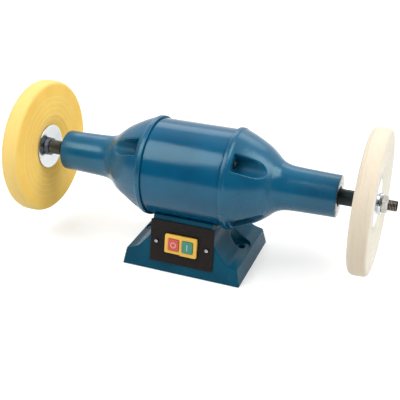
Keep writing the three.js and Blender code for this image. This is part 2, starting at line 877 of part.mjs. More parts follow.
// Sheet cover that closes the base from below, clear of the bench bolt columns
function bottomCover() {
  const wallLean = (coverTop * footDraft) / footHeight;
  const width = 2 * (baseHalfLength - baseWall - wallLean - coverHoleGap);
  const reach = baseHalfWidth - coverTop * Math.tan(baseLean) - baseWall / Math.cos(baseLean);
  const outline = roundedRectangle(0, 0, width, 2 * (reach - coverHoleGap), baseWall);
  const holes = [];
  for (const side of sides) {
    holes.push(roundHole(side * benchBoltX, benchBoltY, benchColumnRadius + coverHoleGap));
    for (const end of sides) {
      holes.push(roundHole(side * coverBossX, end * coverBossY, coverScrewRadius + fitGap));
    }
  }
  return extruded(outline, coverThickness, holes).translate(0, 0, coverBottom);
}

// Switch plate with its window and screw holes
function switchPlate() {
  const outline = rectangle(plateX, plateLow + plateHeight / 2, 2 * plateHalfWidth, plateHeight);
  const width = switchBodyWidth + 2 * slideGap;
  const height = switchBodyHeight + 2 * slideGap;
  const window = pathOf(rectangle(switchX, switchHeight, width, height));
  const holes = sides.map((side) => roundHole(plateX + side * plateScrewSpread, plateScrewHeight, plateScrewRadius + fitGap));
  return extruded(outline, plateThickness, [window, ...holes]).translate(0, 0, fitGap);
}

// The two square openings that the buttons slide in
function buttonWindows() {
  return sides.map((side) => {
    const x = switchX + (side * buttonPitch) / 2;
    return rectangle(x, switchHeight, buttonHoleWidth, buttonHoleHeight);
  });
}

// Bezel round the two buttons
function switchBezel() {
  const outline = roundedRectangle(switchX, switchHeight, bezelWidth, bezelHeight, bezelCorner);
  let bezel = solid(extruded(outline, bezelThickness, [], cornerFacets).translate(0, 0, bezelBack));
  for (const window of buttonWindows()) {
    const hole = extruded(window, bezelThickness + 2 * cutOverrun);
    bezel = bezel.subtract(solid(hole.translate(0, 0, bezelBack - cutOverrun)));
  }
  return shaped(bezel);
}

// Switch body behind the plate, with a well under each button
function switchBody() {
  const outline = rectangle(switchX, switchHeight, switchBodyWidth, switchBodyHeight);
  let body = solid(extruded(outline, switchDepth).translate(0, 0, plateFront - switchDepth));
  const wellDepth = buttonRoot + buttonTravel + plateFront + slideGap;
  for (const window of buttonWindows()) {
    const well = extruded(window, wellDepth + cutOverrun).translate(0, 0, plateFront - wellDepth);
    body = body.subtract(solid(well));
  }
  return shaped(body);
}

// One push button, a cap that slides into the switch
function pushButton(side) {
  const x = switchX + (side * buttonPitch) / 2;
  const depth = buttonRoot + bezelFront + buttonProud;
  const cap = extruded(rectangle(x, switchHeight, buttonWidth, buttonHeight), depth);
  return cap.translate(0, 0, -buttonRoot);
}

// Running capacitor, a can with a crimped end, lying on the cover
function capacitorCan() {
  const half = capacitorLength / 2;
  const outline = [
    [-half, 0],
    [-half, capacitorRadius - capacitorCrimp],
    [-half + capacitorCrimp, capacitorRadius],
    [half - 3 * capacitorCrimp, capacitorRadius],
    [half - 2 * capacitorCrimp, capacitorRadius - capacitorCrimp],
    [half, capacitorRadius - capacitorCrimp],
    [half, 0],
  ];
  const height = coverTop + fitGap + capacitorRadius;
  return turned(outline, ringFacets).translate(capacitorX, capacitorY, height);
}

// Strap over the capacitor, with a foot at each side
function capacitorClamp() {
  const inner = capacitorRadius + fitGap;
  const outer = inner + clampThickness;
  const shape = new THREE.Shape();
  shape.moveTo(-outer - clampFoot, 0);
  shape.lineTo(-inner, 0);
  shape.lineTo(-inner, capacitorRadius);
  shape.absarc(0, capacitorRadius, inner, 2 * quarterTurn, 0, true);
  shape.lineTo(inner, 0);
  shape.lineTo(outer + clampFoot, 0);
  shape.lineTo(outer + clampFoot, clampThickness);
  shape.lineTo(outer, clampThickness);
  shape.lineTo(outer, capacitorRadius);
  shape.absarc(0, capacitorRadius, outer, 0, 2 * quarterTurn, false);
  shape.lineTo(-outer, clampThickness);
  shape.lineTo(-outer - clampFoot, clampThickness);
  const strap = extruded(shape, clampWidth).rotateX(quarterTurn).rotateZ(quarterTurn);
  return strap.translate(capacitorX - clampWidth / 2, capacitorY, coverTop + fitGap);
}

// Terminal block on the cover, with a notch between its ways
function terminalBlock() {
  const pitch = terminalLength / terminalWays;
  const notch = pitch * terminalNotchShare;
  const low = terminalHeight - terminalNotchDepth;
  const points = [[0, 0], [terminalLength, 0]];
  for (let i = terminalWays - 1; i >= 0; i--) {
    const [left, right] = [i * pitch, (i + 1) * pitch];
    points.push([right, low], [right - notch / 2, low]);
    points.push([right - notch / 2, terminalHeight], [left + notch / 2, terminalHeight]);
    points.push([left + notch / 2, low], [left, low]);
  }
  const unique = points.filter(([x, y], i) => i === 0 || x !== points[i - 1][0] || y !== points[i - 1][1]);
  const block = extruded(unique, terminalDepth).rotateX(quarterTurn);
  return block.translate(-terminalLength / 2, terminalY + terminalDepth / 2, coverTop + fitGap);
}

// Cable gland with its hexagon and dome outside, and its thread through the wall
function cableGland() {
  const hexStart = fitGap;
  const domeFrom = hexStart + glandHexLength;
  const tip = domeFrom + glandDomeLength;
  const stem = [
    [-glandInnerLength, 0],
    [-glandInnerLength, glandThreadRadius],
    [domeFrom, glandThreadRadius],
    [domeFrom, glandDomeRadius],
    [domeFrom + glandDomeLength * glandTipShare, glandDomeRadius],
    [tip, glandDomeRadius * glandTipShare],
    [tip, glandMouthRadius],
    [tip - glandMouthDepth, glandMouthRadius],
    [tip - glandMouthDepth, 0],
  ];
  const hex = extruded(hexagon(2 * glandHexRadius * Math.cos(Math.PI / 6)), glandHexLength + fitGap);
  const gland = solid(upright(stem, ringFacets)).add(solid(hex.translate(0, 0, hexStart)));
  return shaped(gland);
}

// Nut that holds the gland from inside the wall
function glandLocknut() {
  const hole = pathOf(polygon(glandThreadRadius + fitGap, ringFacets));
  const nut = extruded(hexagon(locknutFlats), locknutThickness, [hole]);
  return nut.translate(0, 0, -baseWall - fitGap - locknutThickness);
}

const finish = (color, roughness, metalness) => new THREE.MeshStandardMaterial({ color, roughness, metalness });
const enamel = finish(0x0f5a80, 0.35, 0.1);
const zinc = finish(0xc9ccd0, 0.3, 0.9);
const polishedSteel = finish(0xdadde0, 0.15, 1);
const groundSteel = finish(0x8a7f76, 0.4, 0.9);
const blackSteel = finish(0x2a2c2c, 0.45, 0.6);
const laminations = finish(0x6d6f72, 0.5, 0.8);
const copper = finish(0xa85a32, 0.4, 0.8);
const blackPlastic = finish(0x2b2422, 0.5, 0);
const yellowPlastic = finish(0xefc250, 0.4, 0);
const redPlastic = finish(0xd75f50, 0.4, 0);
const greenPlastic = finish(0x4f9680, 0.4, 0);
const greyPlastic = finish(0x8d9093, 0.5, 0);
const rubber = finish(0x1b1b1b, 0.8, 0);
const yellowCotton = finish(0xf0c864, 0.95, 0);
const whiteCotton = finish(0xebe0c5, 0.95, 0);

const machine = new THREE.Group();
const shaftLine = new THREE.Group();
shaftLine.position.z = shaftHeight;
const front = new THREE.Group();
front.rotation.x = quarterTurn - baseLean;
front.position.y = -baseHalfWidth;
const backTurn = new THREE.Group();
backTurn.rotation.z = 2 * quarterTurn;
const back = new THREE.Group();
back.rotation.x = quarterTurn - baseLean;
back.position.y = -baseHalfWidth;
backTurn.add(back);
machine.add(shaftLine, front, backTurn);

function place(parent, name, geometry, material) {
  const mesh = new THREE.Mesh(geometry, material);
  mesh.name = name;
  parent.add(mesh);
  return mesh;
}

place(machine, "base_casting", baseCasting(), enamel);
place(machine, "bottom_cover", bottomCover(), zinc);
place(machine, "capacitor", capacitorCan(), greyPlastic);
place(machine, "capacitor_clamp", capacitorClamp(), zinc);
place(machine, "terminal_block", terminalBlock(), greyPlastic);

const corners = [
  ["front_left", -1, -1],
  ["front_right", 1, -1],
  ["rear_left", -1, 1],
  ["rear_right", 1, 1],
];
for (const [corner, side, end] of corners) {
  const coverScrew = screw(coverScrewHead, coverScrewHeadHeight, coverScrewRadius, coverScrewLength);
  const mesh = place(machine, "cover_screw_" + corner, coverScrew, zinc);
  mesh.rotation.x = 2 * quarterTurn;
  mesh.position.set(side * coverBossX, end * coverBossY, coverBottom - fitGap);
}

place(shaftLine, "motor_housing", motorHousing(), enamel);
place(shaftLine, "end_bell_right", endBell(), enamel);
place(shaftLine, "end_bell_left", endBell(), enamel).scale.x = -1;
place(shaftLine, "stator_core", statorCore(), laminations);
place(shaftLine, "rotor_core", rotorCore(), laminations);
place(shaftLine, "spindle_shaft", spindleShaft(), groundSteel);

for (const [end, side] of [["left", -1], ["right", 1]]) {
  const boltName = "saddle_bolt_" + end;
  const boltLength = saddleWall + housingWall;
  const saddleBolt = screw(saddleHeadRadius, saddleHeadHeight, saddleBoltRadius, boltLength);
  const mesh = place(machine, boltName, saddleBolt, zinc);
  mesh.rotation.x = 2 * quarterTurn;
  mesh.position.set(side * saddleBoltX, 0, shaftHeight - cavityRoofRadius - fitGap);

  const at = (name, geometry, material) => place(shaftLine, name + "_" + end, geometry, material);
  const nutAt = (start, thickness) => (side > 0 ? start : -start - thickness);
  const threadBore = threadRadius + fitGap;
  const outerRingBore = bearingRadius - bearingWall;
  const seatBore = bearingSeatRadius + fitGap;
  const sealStart = neckEnd - endWall + fitGap;
  const sealBore = sleeveRadius + runningGap;
  at("winding", winding(side), copper);
  at("bearing_outer", shaftRing(side, bearingIn, bearingOut, outerRingBore, bearingRadius, barrelFacets), polishedSteel);
  at("bearing_inner", shaftRing(side, bearingIn, bearingOut, seatBore, innerRingRadius), polishedSteel);
  at("ball_cage", ballCage(side), zinc);
  at("preload_washer", preloadWasher(side), zinc);
  at("dust_seal", shaftRing(side, sealStart, sealStart + sealWidth, sealBore, endBoreRadius - fitGap), rubber);
  at("spacer_sleeve", shaftRing(side, sleeveStart, sleeveEnd, seatBore, sleeveRadius), blackSteel);
  at("jam_nut", shaftNut(jamNutFlats, threadBore, nutAt(jamNutStart, jamNutThickness), jamNutThickness), blackSteel);
  at("inner_flange", saucerFlange(side, innerFlangeFace), polishedSteel);
  at("buff", buff(side), side < 0 ? yellowCotton : whiteCotton);
  at("outer_flange", hubFlange(side, outerFlangeFace), polishedSteel);
  at("outer_nut", shaftNut(outerNutFlats, threadBore, nutAt(outerNutStart, outerNutThickness), outerNutThickness), zinc);
  const plateScrew = screw(plateScrewHead, plateScrewHeadHeight, plateScrewRadius, plateScrewLength);
  const screwMesh = place(front, "plate_screw_" + end, plateScrew, zinc);
  screwMesh.position.set(plateX + side * plateScrewSpread, plateScrewHeight, plateFront + fitGap);
}

for (let i = 0; i < 4; i++) {
  const angle = (i + 0.5) * quarterTurn;
  const seat = pocketSeat + fitGap;
  const shank = 2 * seat + tieNutThickness + tieBoltEnd;
  const bolt = screw(tieHeadRadius, tieHeadHeight, tieBoltRadius, shank).rotateY(quarterTurn);
  bolt.translate(seat, 0, tieCircle).rotateX(angle);
  place(shaftLine, "tie_bolt_" + (i + 1), bolt, blackSteel);
  const nut = shaftNut(tieNutFlats, tieBoltRadius + fitGap, -seat - tieNutThickness, tieNutThickness);
  place(shaftLine, "tie_nut_" + (i + 1), nut.translate(0, 0, tieCircle).rotateX(angle), blackSteel);
}

place(front, "switch_plate", switchPlate(), blackPlastic);
place(front, "switch_bezel", switchBezel(), yellowPlastic);
place(front, "switch_body", switchBody(), blackPlastic);
place(front, "stop_button", pushButton(-1), redPlastic);
place(front, "start_button", pushButton(1), greenPlastic);
place(back, "cable_gland", cableGland(), blackPlastic).position.set(glandX, glandHeight, 0);
place(back, "gland_locknut", glandLocknut(), blackPlastic).position.set(glandX, glandHeight, 0);

export default machine;
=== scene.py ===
from math import ceil, cos, pi, radians, sin, tan
import bmesh
import bpy
import numpy as np
from mathutils import Matrix, Vector


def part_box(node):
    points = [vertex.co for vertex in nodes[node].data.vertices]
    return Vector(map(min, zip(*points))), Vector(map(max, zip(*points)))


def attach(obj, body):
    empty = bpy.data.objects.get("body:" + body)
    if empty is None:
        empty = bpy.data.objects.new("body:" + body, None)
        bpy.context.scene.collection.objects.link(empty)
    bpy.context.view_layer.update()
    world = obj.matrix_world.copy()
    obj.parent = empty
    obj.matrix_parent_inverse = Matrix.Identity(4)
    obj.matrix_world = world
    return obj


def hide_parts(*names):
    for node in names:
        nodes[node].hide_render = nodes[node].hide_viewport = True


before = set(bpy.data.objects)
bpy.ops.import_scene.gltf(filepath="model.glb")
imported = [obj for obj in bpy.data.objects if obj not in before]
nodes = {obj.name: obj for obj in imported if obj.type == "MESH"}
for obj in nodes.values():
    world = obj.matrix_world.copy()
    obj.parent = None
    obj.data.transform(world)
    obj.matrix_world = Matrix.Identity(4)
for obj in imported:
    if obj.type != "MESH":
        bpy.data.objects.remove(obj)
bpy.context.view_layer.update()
mm = 0.001
ends = {"left": -1, "right": 1}
print("frame loaded:", len(nodes), "nodes")


# where a turned node starts and stops along the shaft, and its half width, in millimetres
def turnedNode(node):
    low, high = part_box(node)
    return [round(value / mm, 3) for value in (low.x, high.x, high.y)]


shaftHeight = round(sum(corner.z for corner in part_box("spindle_shaft")) / 2 / mm, 3)
shaftLine = Matrix.Translation((0, 0, shaftHeight * mm))

# camera first, at the photograph's angle
cameraSettings = {
    "place": (0.3670, -0.9359, 0.6306),
    "target": (0.0058, 0.0, 0.0935),
    "roll": 0.255,
    "lens": 67.7,
    "sensor": 36,
    "farthest": 50,
}
camera = bpy.data.objects.new("camera", bpy.data.cameras.new("camera"))
bpy.context.collection.objects.link(camera)
camera.location = cameraSettings["place"]
look = Vector(cameraSettings["target"]) - camera.location
turn = Matrix.Rotation(radians(cameraSettings["roll"]), 3, "Z")
camera.rotation_euler = (look.to_track_quat("-Z", "Y").to_matrix() @ turn).to_euler()
camera.data.lens = cameraSettings["lens"]
camera.data.sensor_width = cameraSettings["sensor"]
camera.data.clip_end = cameraSettings["farthest"]
bpy.context.scene.camera = camera


# colours are written as on a paint card, 0 to 255, and turned linear here
def paint(colour):
    def linear(value):
        value /= 255
        return value / 12.92 if value < 0.04045 else ((value + 0.055) / 1.055) ** 2.4
    return tuple(linear(value) for value in colour) + (1.0,)


finishes = {}


# the sockets get plain values first, and some are then fed by nodes
def startMaterial(name, colour, roughness, metallic=0.0, **sockets):
    material = finishes[name] = bpy.data.materials.new(name)
    material.use_nodes = True
    shader = material.node_tree.nodes["Principled BSDF"]
    sockets.update(Base_Color=paint(colour), Roughness=roughness, Metallic=metallic)
    for socket, value in sockets.items():
        shader.inputs[socket.replace("_", " ")].default_value = value
    return material


# helpers that say owner take a material or the world
def addNode(owner, kind, **inputs):
    node = owner.node_tree.nodes.new("ShaderNode" + kind)
    for key, value in inputs.items():
        node.inputs[key.replace("_", " ")].default_value = value
    return node


def join(owner, start, end):
    owner.node_tree.links.new(start, end)


def connect(material, output, socket):
    join(material, output, material.node_tree.nodes["Principled BSDF"].inputs[socket])


# a value spread over another range, 0 to 1 unless told otherwise
def ranged(owner, value, low, high, newLow=0, newHigh=1):
    node = addNode(owner, "MapRange")
    for slot, number in zip((1, 2, 3, 4), (low, high, newLow, newHigh)):
        node.inputs[slot].default_value = number
    join(owner, value, node.inputs[0])
    return node.outputs[0]


def combine(owner, operation, first, second=0.0):
    node = addNode(owner, "Math")
    node.operation = operation
    for slot, value in enumerate((first, second)):
        if isinstance(value, (int, float)):
            node.inputs[slot].default_value = value
        else:
            join(owner, value, node.inputs[slot])
    return node.outputs[0]


def times(material, first, second):
    return combine(material, "MULTIPLY", first, second)


def waves(material, value, perMetre):
    return combine(material, "SINE", times(material, value, perMetre * 2 * pi))


# a node that works in the piece's own coordinates
def pattern(material, kind, **inputs):
    node = addNode(material, kind, **inputs)
    join(material, addNode(material, "TexCoord").outputs["Object"], node.inputs["Vector"])
    return node


# size counts the cells in a metre
def noise(material, size, detail):
    return pattern(material, "TexNoise", Scale=size, Detail=detail).outputs["Fac"]


# the middle of a noise, as far as spread to each side of it, stretched from low to high
def mottled(material, size, detail, low=0, high=1, spread=0.2):
    return ranged(material, noise(material, size, detail), 0.5 - spread, 0.5 + spread, low, high)


# two colours, each from a paint card or from a socket
def mixed(material, factor, first, second):
    node = addNode(material, "Mix")
    node.data_type = "RGBA"
    join(material, factor, node.inputs[0])
    for slot, value in ((6, first), (7, second)):
        if isinstance(value, tuple):
            node.inputs[slot].default_value = paint(value)
        else:
            join(material, value, node.inputs[slot])
    return node.outputs[2]


def tint(material, factor, first, second):
    connect(material, mixed(material, factor, first, second), "Base Color")


# the colour drifts between itself and a darker share of itself
def fade(material, factor, share, colour):
    tint(material, factor, tuple(share * value for value in colour), colour)


def roughen(material, height, distance, strength):
    bump = addNode(material, "Bump", Strength=strength, Distance=distance)
    join(material, height, bump.inputs["Height"])
    connect(material, bump.outputs["Normal"], "Normal")


# X, Y and Z measured from the spindle's line, for marks that turn with a piece
def fromLine(material):
    moved = pattern(material, "Mapping", Location=(0, 0, -shaftHeight * mm))
    parts = addNode(material, "SeparateXYZ")
    join(material, moved.outputs["Vector"], parts.inputs[0])
    return parts.outputs


def lineDistance(material, parts):
    squares = [times(material, parts[axis], parts[axis]) for axis in "YZ"]
    return combine(material, "SQRT", combine(material, "ADD", *squares))


enamelSettings = {
    "barrel": {"pale": (4, 82, 116), "deep": (2, 70, 102), "gloss": (0.14, 0.2), "specular": 0.42,
               "cast": 0.48},
    "bell": {"pale": (5, 84, 117), "deep": (3, 72, 103), "gloss": (0.2, 0.3), "specular": 0.5,
             "cast": 0.88},
    # the pockets' paint is written darker than the bell's, as painted shade in the recesses; its rougher
    # gloss is its own
    "pocket": {"pale": (4, 78, 108), "deep": (3, 66, 94), "gloss": (0.42, 0.5), "specular": 0.25,
               "cast": 1.44},
    # the base is the same paint as the barrel, written darker as painted shade for the low, shaded
    # casting; its rougher, less glossy coat is its own
    "base": {"pale": (4, 75, 99), "deep": (2, 62, 85), "gloss": (0.2, 0.3), "specular": 0.12,
             "cast": 0.8},
    "glint": (0.72, 1.0, 1.0, 1.0),
    "roughness": 0.3,
    "driftSize": 14,
    "smudgeSize": 40,
    "peelSize": 520,
    "peel": 0.25,
    "castSize": 75,
    "relief": 0.35 * mm,
    "bump": 0.4,
}


# semi-gloss machine enamel: a slow drift in colour, fine orange peel and a faint cast waviness
def machineEnamel(kind):
    s = enamelSettings
    coat = s[kind]
    material = startMaterial(kind + "Enamel", coat["pale"], s["roughness"],
                             Specular_IOR_Level=coat["specular"], Specular_Tint=s["glint"])
    tint(material, mottled(material, s["driftSize"], 4, spread=0.15), coat["deep"], coat["pale"])
    connect(material, mottled(material, s["smudgeSize"], 5, *coat["gloss"]), "Roughness")
    peel = times(material, noise(material, s["peelSize"], 2), s["peel"])
    cast = times(material, noise(material, s["castSize"], 3), coat["cast"])
    roughen(material, combine(material, "ADD", peel, cast), s["relief"], s["bump"])


turnedSettings = {"lead": 0.6, "mottleSize": 160, "gloss": (0.75, 1.35), "wearSize": 60, "bump": 0.35}


# metal turned in a lathe: fine rings about the shaft, with the marks of the tool
def turnedMetal(name, colour, roughness, ringsPerMetre=2400, depth=0.02 * mm, metallic=1.0, wear=0.2):
    s = turnedSettings
    material = startMaterial(name, colour, roughness, metallic)
    parts = fromLine(material)
    advance = times(material, parts["X"], s["lead"])
    place = combine(material, "ADD", lineDistance(material, parts), advance)
    gloss = [roughness * share for share in s["gloss"]]
    connect(material, mottled(material, s["mottleSize"], 4, *gloss), "Roughness")
    fade(material, mottled(material, s["wearSize"], 4), 1 - wear, colour)
    roughen(material, waves(material, place, ringsPerMetre), depth, s["bump"])


zincSettings = {"roughness": 0.28, "crystalSize": 700, "gloss": (0.2, 0.42), "toneSize": 220,
                "tone": 0.84, "grainSize": 900, "relief": 0.02 * mm, "bump": 0.3}


# zinc plate: small crystals in brightness and gloss
def zincPlate(name, colour, metallic=0.8):
    s = zincSettings
    material = startMaterial(name, colour, s["roughness"], metallic)
    crystals = pattern(material, "TexVoronoi", Scale=s["crystalSize"])
    connect(material, ranged(material, crystals.outputs["Distance"], 0, 1, *s["gloss"]), "Roughness")
    fade(material, noise(material, s["toneSize"], 4), s["tone"], colour)
    roughen(material, noise(material, s["grainSize"], 3), s["relief"], s["bump"])


plasticSettings = {"toneSize": 60, "tone": 0.9, "smudgeSize": 240, "gloss": (0.85, 1.2), "bump": 0.4}


# moulded plastic: spark-eroded grain and a faint drift in colour
def mouldedPlastic(name, colour, roughness, grain=900, depth=0.04 * mm, **sockets):
    s = plasticSettings
    material = startMaterial(name, colour, roughness, **sockets)
    fade(material, noise(material, s["toneSize"], 4), s["tone"], colour)
    gloss = [roughness * share for share in s["gloss"]]
    connect(material, mottled(material, s["smudgeSize"], 3, *gloss), "Roughness")
    roughen(material, noise(material, grain, 2), depth, s["bump"])


clothSettings = {
    "yellow": {"face": (252, 209, 90), "rim": (241, 206, 118), "deep": (247, 197, 78),
               "seam": (255, 224, 146)},
    "white": {"face": (224, 219, 203), "rim": (224, 210, 188), "deep": (218, 211, 194),
              "seam": (238, 231, 216)},
    "roughness": 0.95,
    "sheen": (0.2, 0.6),
    "specular": 0.2,
    "threadsPerMetre": 1150,
    "pliesPerMetre": 1300,
    "rimStart": 97 * mm,
    "rimBlend": 4 * mm,
    "blotchSize": 30,
    "seams": [45.5, 53.5, 61.5, 70.5, 80.0],
    "seamWidth": 1.3 * mm,
    "pucker": 0.6,
    "napSize": 420,
    "nap": 2.2,
    "relief": 0.14 * mm,
    "bump": 0.5,
}


# cotton cloth: a plain weave on the face, paler puckers at the seams, plies on the rim, and a nap
def cottonCloth(kind):
    s = clothSettings
    shades = s[kind]
    material = startMaterial(kind + "Cotton", shades["face"], s["roughness"], Sheen_Weight=s["sheen"][0],
                             Sheen_Roughness=s["sheen"][1], Specular_IOR_Level=s["specular"])
    parts = fromLine(material)
    radius = lineDistance(material, parts)
    weave = times(material, *(waves(material, parts[axis], s["threadsPerMetre"]) for axis in "YZ"))
    plies = waves(material, parts["X"], s["pliesPerMetre"])
    onRim = ranged(material, radius, s["rimStart"], s["rimStart"] + s["rimBlend"])
    blotch = mottled(material, s["blotchSize"], 4, spread=0.18)
    colour = mixed(material, blotch, shades["deep"], shades["face"])
    for seam in s["seams"]:
        off = combine(material, "ABSOLUTE", combine(material, "SUBTRACT", radius, seam * mm))
        pucker = ranged(material, off, 0, s["seamWidth"], s["pucker"], 0)
        colour = mixed(material, pucker, colour, shades["seam"])
    tint(material, onRim, colour, shades["rim"])
    nap = times(material, noise(material, s["napSize"], 5), s["nap"])
    cloth = combine(material, "ADD", weave, times(material, plies, onRim))
    roughen(material, combine(material, "ADD", cloth, nap), s["relief"], s["bump"])


threadSettings = {"roughness": 0.85, "sheen": 0.3, "twistSize": 900, "distortion": 1.5,
                  "tone": 0.88, "relief": 0.08 * mm, "bump": 0.5}


def stitchThread(name, colour):
    s = threadSettings
    material = startMaterial(name, colour, s["roughness"], Sheen_Weight=s["sheen"])
    twist = pattern(material, "TexWave", Scale=s["twistSize"], Distortion=s["distortion"]).outputs["Fac"]
    fade(material, twist, s["tone"], colour)
    roughen(material, twist, s["relief"], s["bump"])


sheetSettings = {"colour": (112, 113, 116), "pale": (132, 132, 134), "deep": (84, 84, 88),
                 "roughness": 0.5, "metallic": 0.8, "sheetsPerMetre": 1400, "rustSize": 90,
                 "gloss": (0.4, 0.65), "relief": 0.06 * mm, "bump": 0.6}


# stacked sheets: hard lines across the shaft
def sheetStack():
    s = sheetSettings
    material = startMaterial("sheetStack", s["colour"], s["roughness"], s["metallic"])
    lines = waves(material, fromLine(material)["X"], s["sheetsPerMetre"])
    tint(material, ranged(material, lines, -1, 1), s["deep"], s["pale"])
    connect(material, mottled(material, s["rustSize"], 4, *s["gloss"]), "Roughness")
    roughen(material, lines, s["relief"], s["bump"])


wireSettings = {"colour": (176, 96, 54), "pale": (196, 112, 64), "deep": (120, 58, 30),
                "roughness": 0.35, "metallic": 0.85, "coat": (0.5, 0.2), "lead": 0.7,
                "wiresPerMetre": 950, "tangleSize": 130, "tangle": 1.5, "relief": 0.2 * mm,
                "bump": 0.7}


# varnished wire laid round the shaft
def copperWire():
    s = wireSettings
    material = startMaterial("copperWire", s["colour"], s["roughness"], s["metallic"],
                             Coat_Weight=s["coat"][0], Coat_Roughness=s["coat"][1])
    parts = fromLine(material)
    advance = times(material, parts["X"], s["lead"])
    place = combine(material, "ADD", lineDistance(material, parts), advance)
    strands = waves(material, place, s["wiresPerMetre"])
    tint(material, ranged(material, strands, -1, 1), s["deep"], s["pale"])
    tangle = times(material, noise(material, s["tangleSize"], 3), s["tangle"])
    roughen(material, combine(material, "ADD", strands, tangle), s["relief"], s["bump"])


for kind in ("barrel", "bell", "pocket", "base"):
    machineEnamel(kind)
turnedMetal("machinedFace", (205, 205, 203), 0.3)
turnedMetal("polishedSteel", (198, 202, 204), 0.16, ringsPerMetre=1800, depth=0.01 * mm, wear=0.04)
turnedMetal("brownSteel", (168, 160, 146), 0.34, metallic=0.85)
# the dark finish of the thread and ridge grooves is painted shade
turnedMetal("shadedRootSteel", (46, 42, 38), 0.5)
turnedMetal("greySteel", (118, 124, 132), 0.5, metallic=0.6)
turnedMetal("ridgedSteel", (112, 112, 104), 0.4, metallic=0.7)
turnedMetal("shaftSteel", (150, 146, 140), 0.32)
turnedMetal("blackSteel", (24, 38, 42), 0.45, ringsPerMetre=1500, depth=0.03 * mm, metallic=0.5)
zincPlate("zincPlate", (196, 199, 203))
zincPlate("palestZinc", (222, 222, 218), metallic=0.5)
zincPlate("zincBolt", (208, 210, 212))
mouldedPlastic("blackPlate", (30, 23, 21), 0.6, grain=1100, depth=0.05 * mm, Specular_IOR_Level=0.2)
mouldedPlastic("blackPlastic", (36, 34, 34), 0.5)
mouldedPlastic("yellowPlastic", (240, 190, 72), 0.34, grain=700, depth=0.02 * mm)
mouldedPlastic("redPlastic", (206, 84, 70), 0.36, grain=700, depth=0.02 * mm)
mouldedPlastic("greenPlastic", (62, 138, 118), 0.36, grain=700, depth=0.02 * mm)
mouldedPlastic("pinkMark", (244, 168, 160), 0.5)
mouldedPlastic("paleMark", (150, 200, 180), 0.5)
mouldedPlastic("greyPlastic", (150, 152, 154), 0.5)
mouldedPlastic("rubber", (28, 28, 28), 0.8, grain=600, depth=0.1 * mm)
cottonCloth("yellow")
cottonCloth("white")
stitchThread("yellowThread", (252, 226, 150))
stitchThread("whiteThread", (250, 244, 228))
sheetStack()
copperWire()
print("finishes made:", len(finishes))


# puts a mesh in the scene with its finishes, its body, and the nodes that it stands for
def addPiece(name, mesh, finish, body, stands=(), sharp=35):
    piece = bpy.data.objects.new(name, mesh)
    bpy.context.collection.objects.link(piece)
    for key in [finish] if isinstance(finish, str) else finish:
        mesh.materials.append(finishes[key])
    mesh.shade_smooth()
    mesh.set_sharp_from_angle(angle=radians(sharp))
    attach(piece, body)
    if stands:
        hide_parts(*stands)


meshSettings = {"weldGap": 0.002 * mm, "leastEdge": 0.0001 * mm}


# welds doubled points and turns the faces out
def welded(mesh, dissolve=False):
    work = bmesh.new()
    work.from_mesh(mesh)
    bmesh.ops.remove_doubles(work, verts=work.verts, dist=meshSettings["weldGap"])
    if dissolve:
        bmesh.ops.dissolve_degenerate(work, edges=work.edges, dist=meshSettings["leastEdge"])
    bmesh.ops.recalc_face_normals(work, faces=work.faces)
    work.to_mesh(mesh)
    work.free()
    return mesh


def cleanMesh(name, points, faces, matrix):
    mesh = bpy.data.meshes.new(name)
    mesh.from_pydata([tuple(p) for p in points], [], faces)
    mesh.transform(matrix)
    return welded(mesh, dissolve=True)


# a closed form round the shaft: each row is a place along it and a radius, the same or one per angle
def aroundShaft(name, rows, angles, matrix=shaftLine, ring=True):
    count, total = len(angles), len(rows)
    across, up = np.cos(angles), np.sin(angles)
    points = []
    for place, radius in rows:
        radii = np.broadcast_to(np.asarray(radius, float), (count,))
        places = np.broadcast_to(np.asarray(place, float), (count,))
        points.append(np.stack([places, radii * across, radii * up], axis=1))
    faces = []
    for i in range(total if ring else total - 1):
        a, b = i * count, ((i + 1) % total) * count
        for j in range(count):
            k = (j + 1) % count
            faces.append((a + j, a + k, b + k, b + j))
    return cleanMesh(name, np.concatenate(points) * mm, faces, matrix)


def fromShaft(point):
    return (point.y ** 2 + (point.z - shaftHeight * mm) ** 2) ** 0.5 / mm


def evenAngles(count):
    return np.linspace(0, 2 * pi, count, endpoint=False)


# rounds the corners of an outline of (place, radius) pairs, each by its own size
def softCorners(outline, size, steps=3, closed=True):
    result = []
    count = len(outline)
    for i, point in enumerate(outline):
        here = Vector(point[:2])
        reach = point[2] if len(point) > 2 else size
        if not closed and i in (0, count - 1) or reach <= 0:
            result.append(tuple(here))
            continue
        before = Vector(outline[i - 1][:2]) - here
        after = Vector(outline[(i + 1) % count][:2]) - here
        cut = min(reach, 0.45 * before.length, 0.45 * after.length)  # neighbours share an edge
        start, end = here + before.normalized() * cut, here + after.normalized() * cut
        for t in np.linspace(0, 1, steps + 1):
            result.append(tuple((1 - t) ** 2 * start + 2 * t * (1 - t) * here + t ** 2 * end))
    return result


# a smooth line through points, sampled every so often
def smoothLine(points, spacing):
    p = np.array(points, float)
    p = np.vstack([2 * p[0] - p[1], p, 2 * p[-1] - p[-2]])
    line = []
    for i in range(1, len(p) - 2):
        steps = max(1, ceil(np.linalg.norm(p[i + 1] - p[i]) / spacing))
        for t in np.arange(steps) / steps:
            line.append(0.5 * (2 * p[i] + (p[i + 1] - p[i - 1]) * t
                               + (2 * p[i - 1] - 5 * p[i] + 4 * p[i + 1] - p[i + 2]) * t ** 2
                               + (3 * p[i] - p[i - 1] - 3 * p[i + 1] + p[i + 2]) * t ** 3))
    line.append(p[-2])
    return np.array(line)


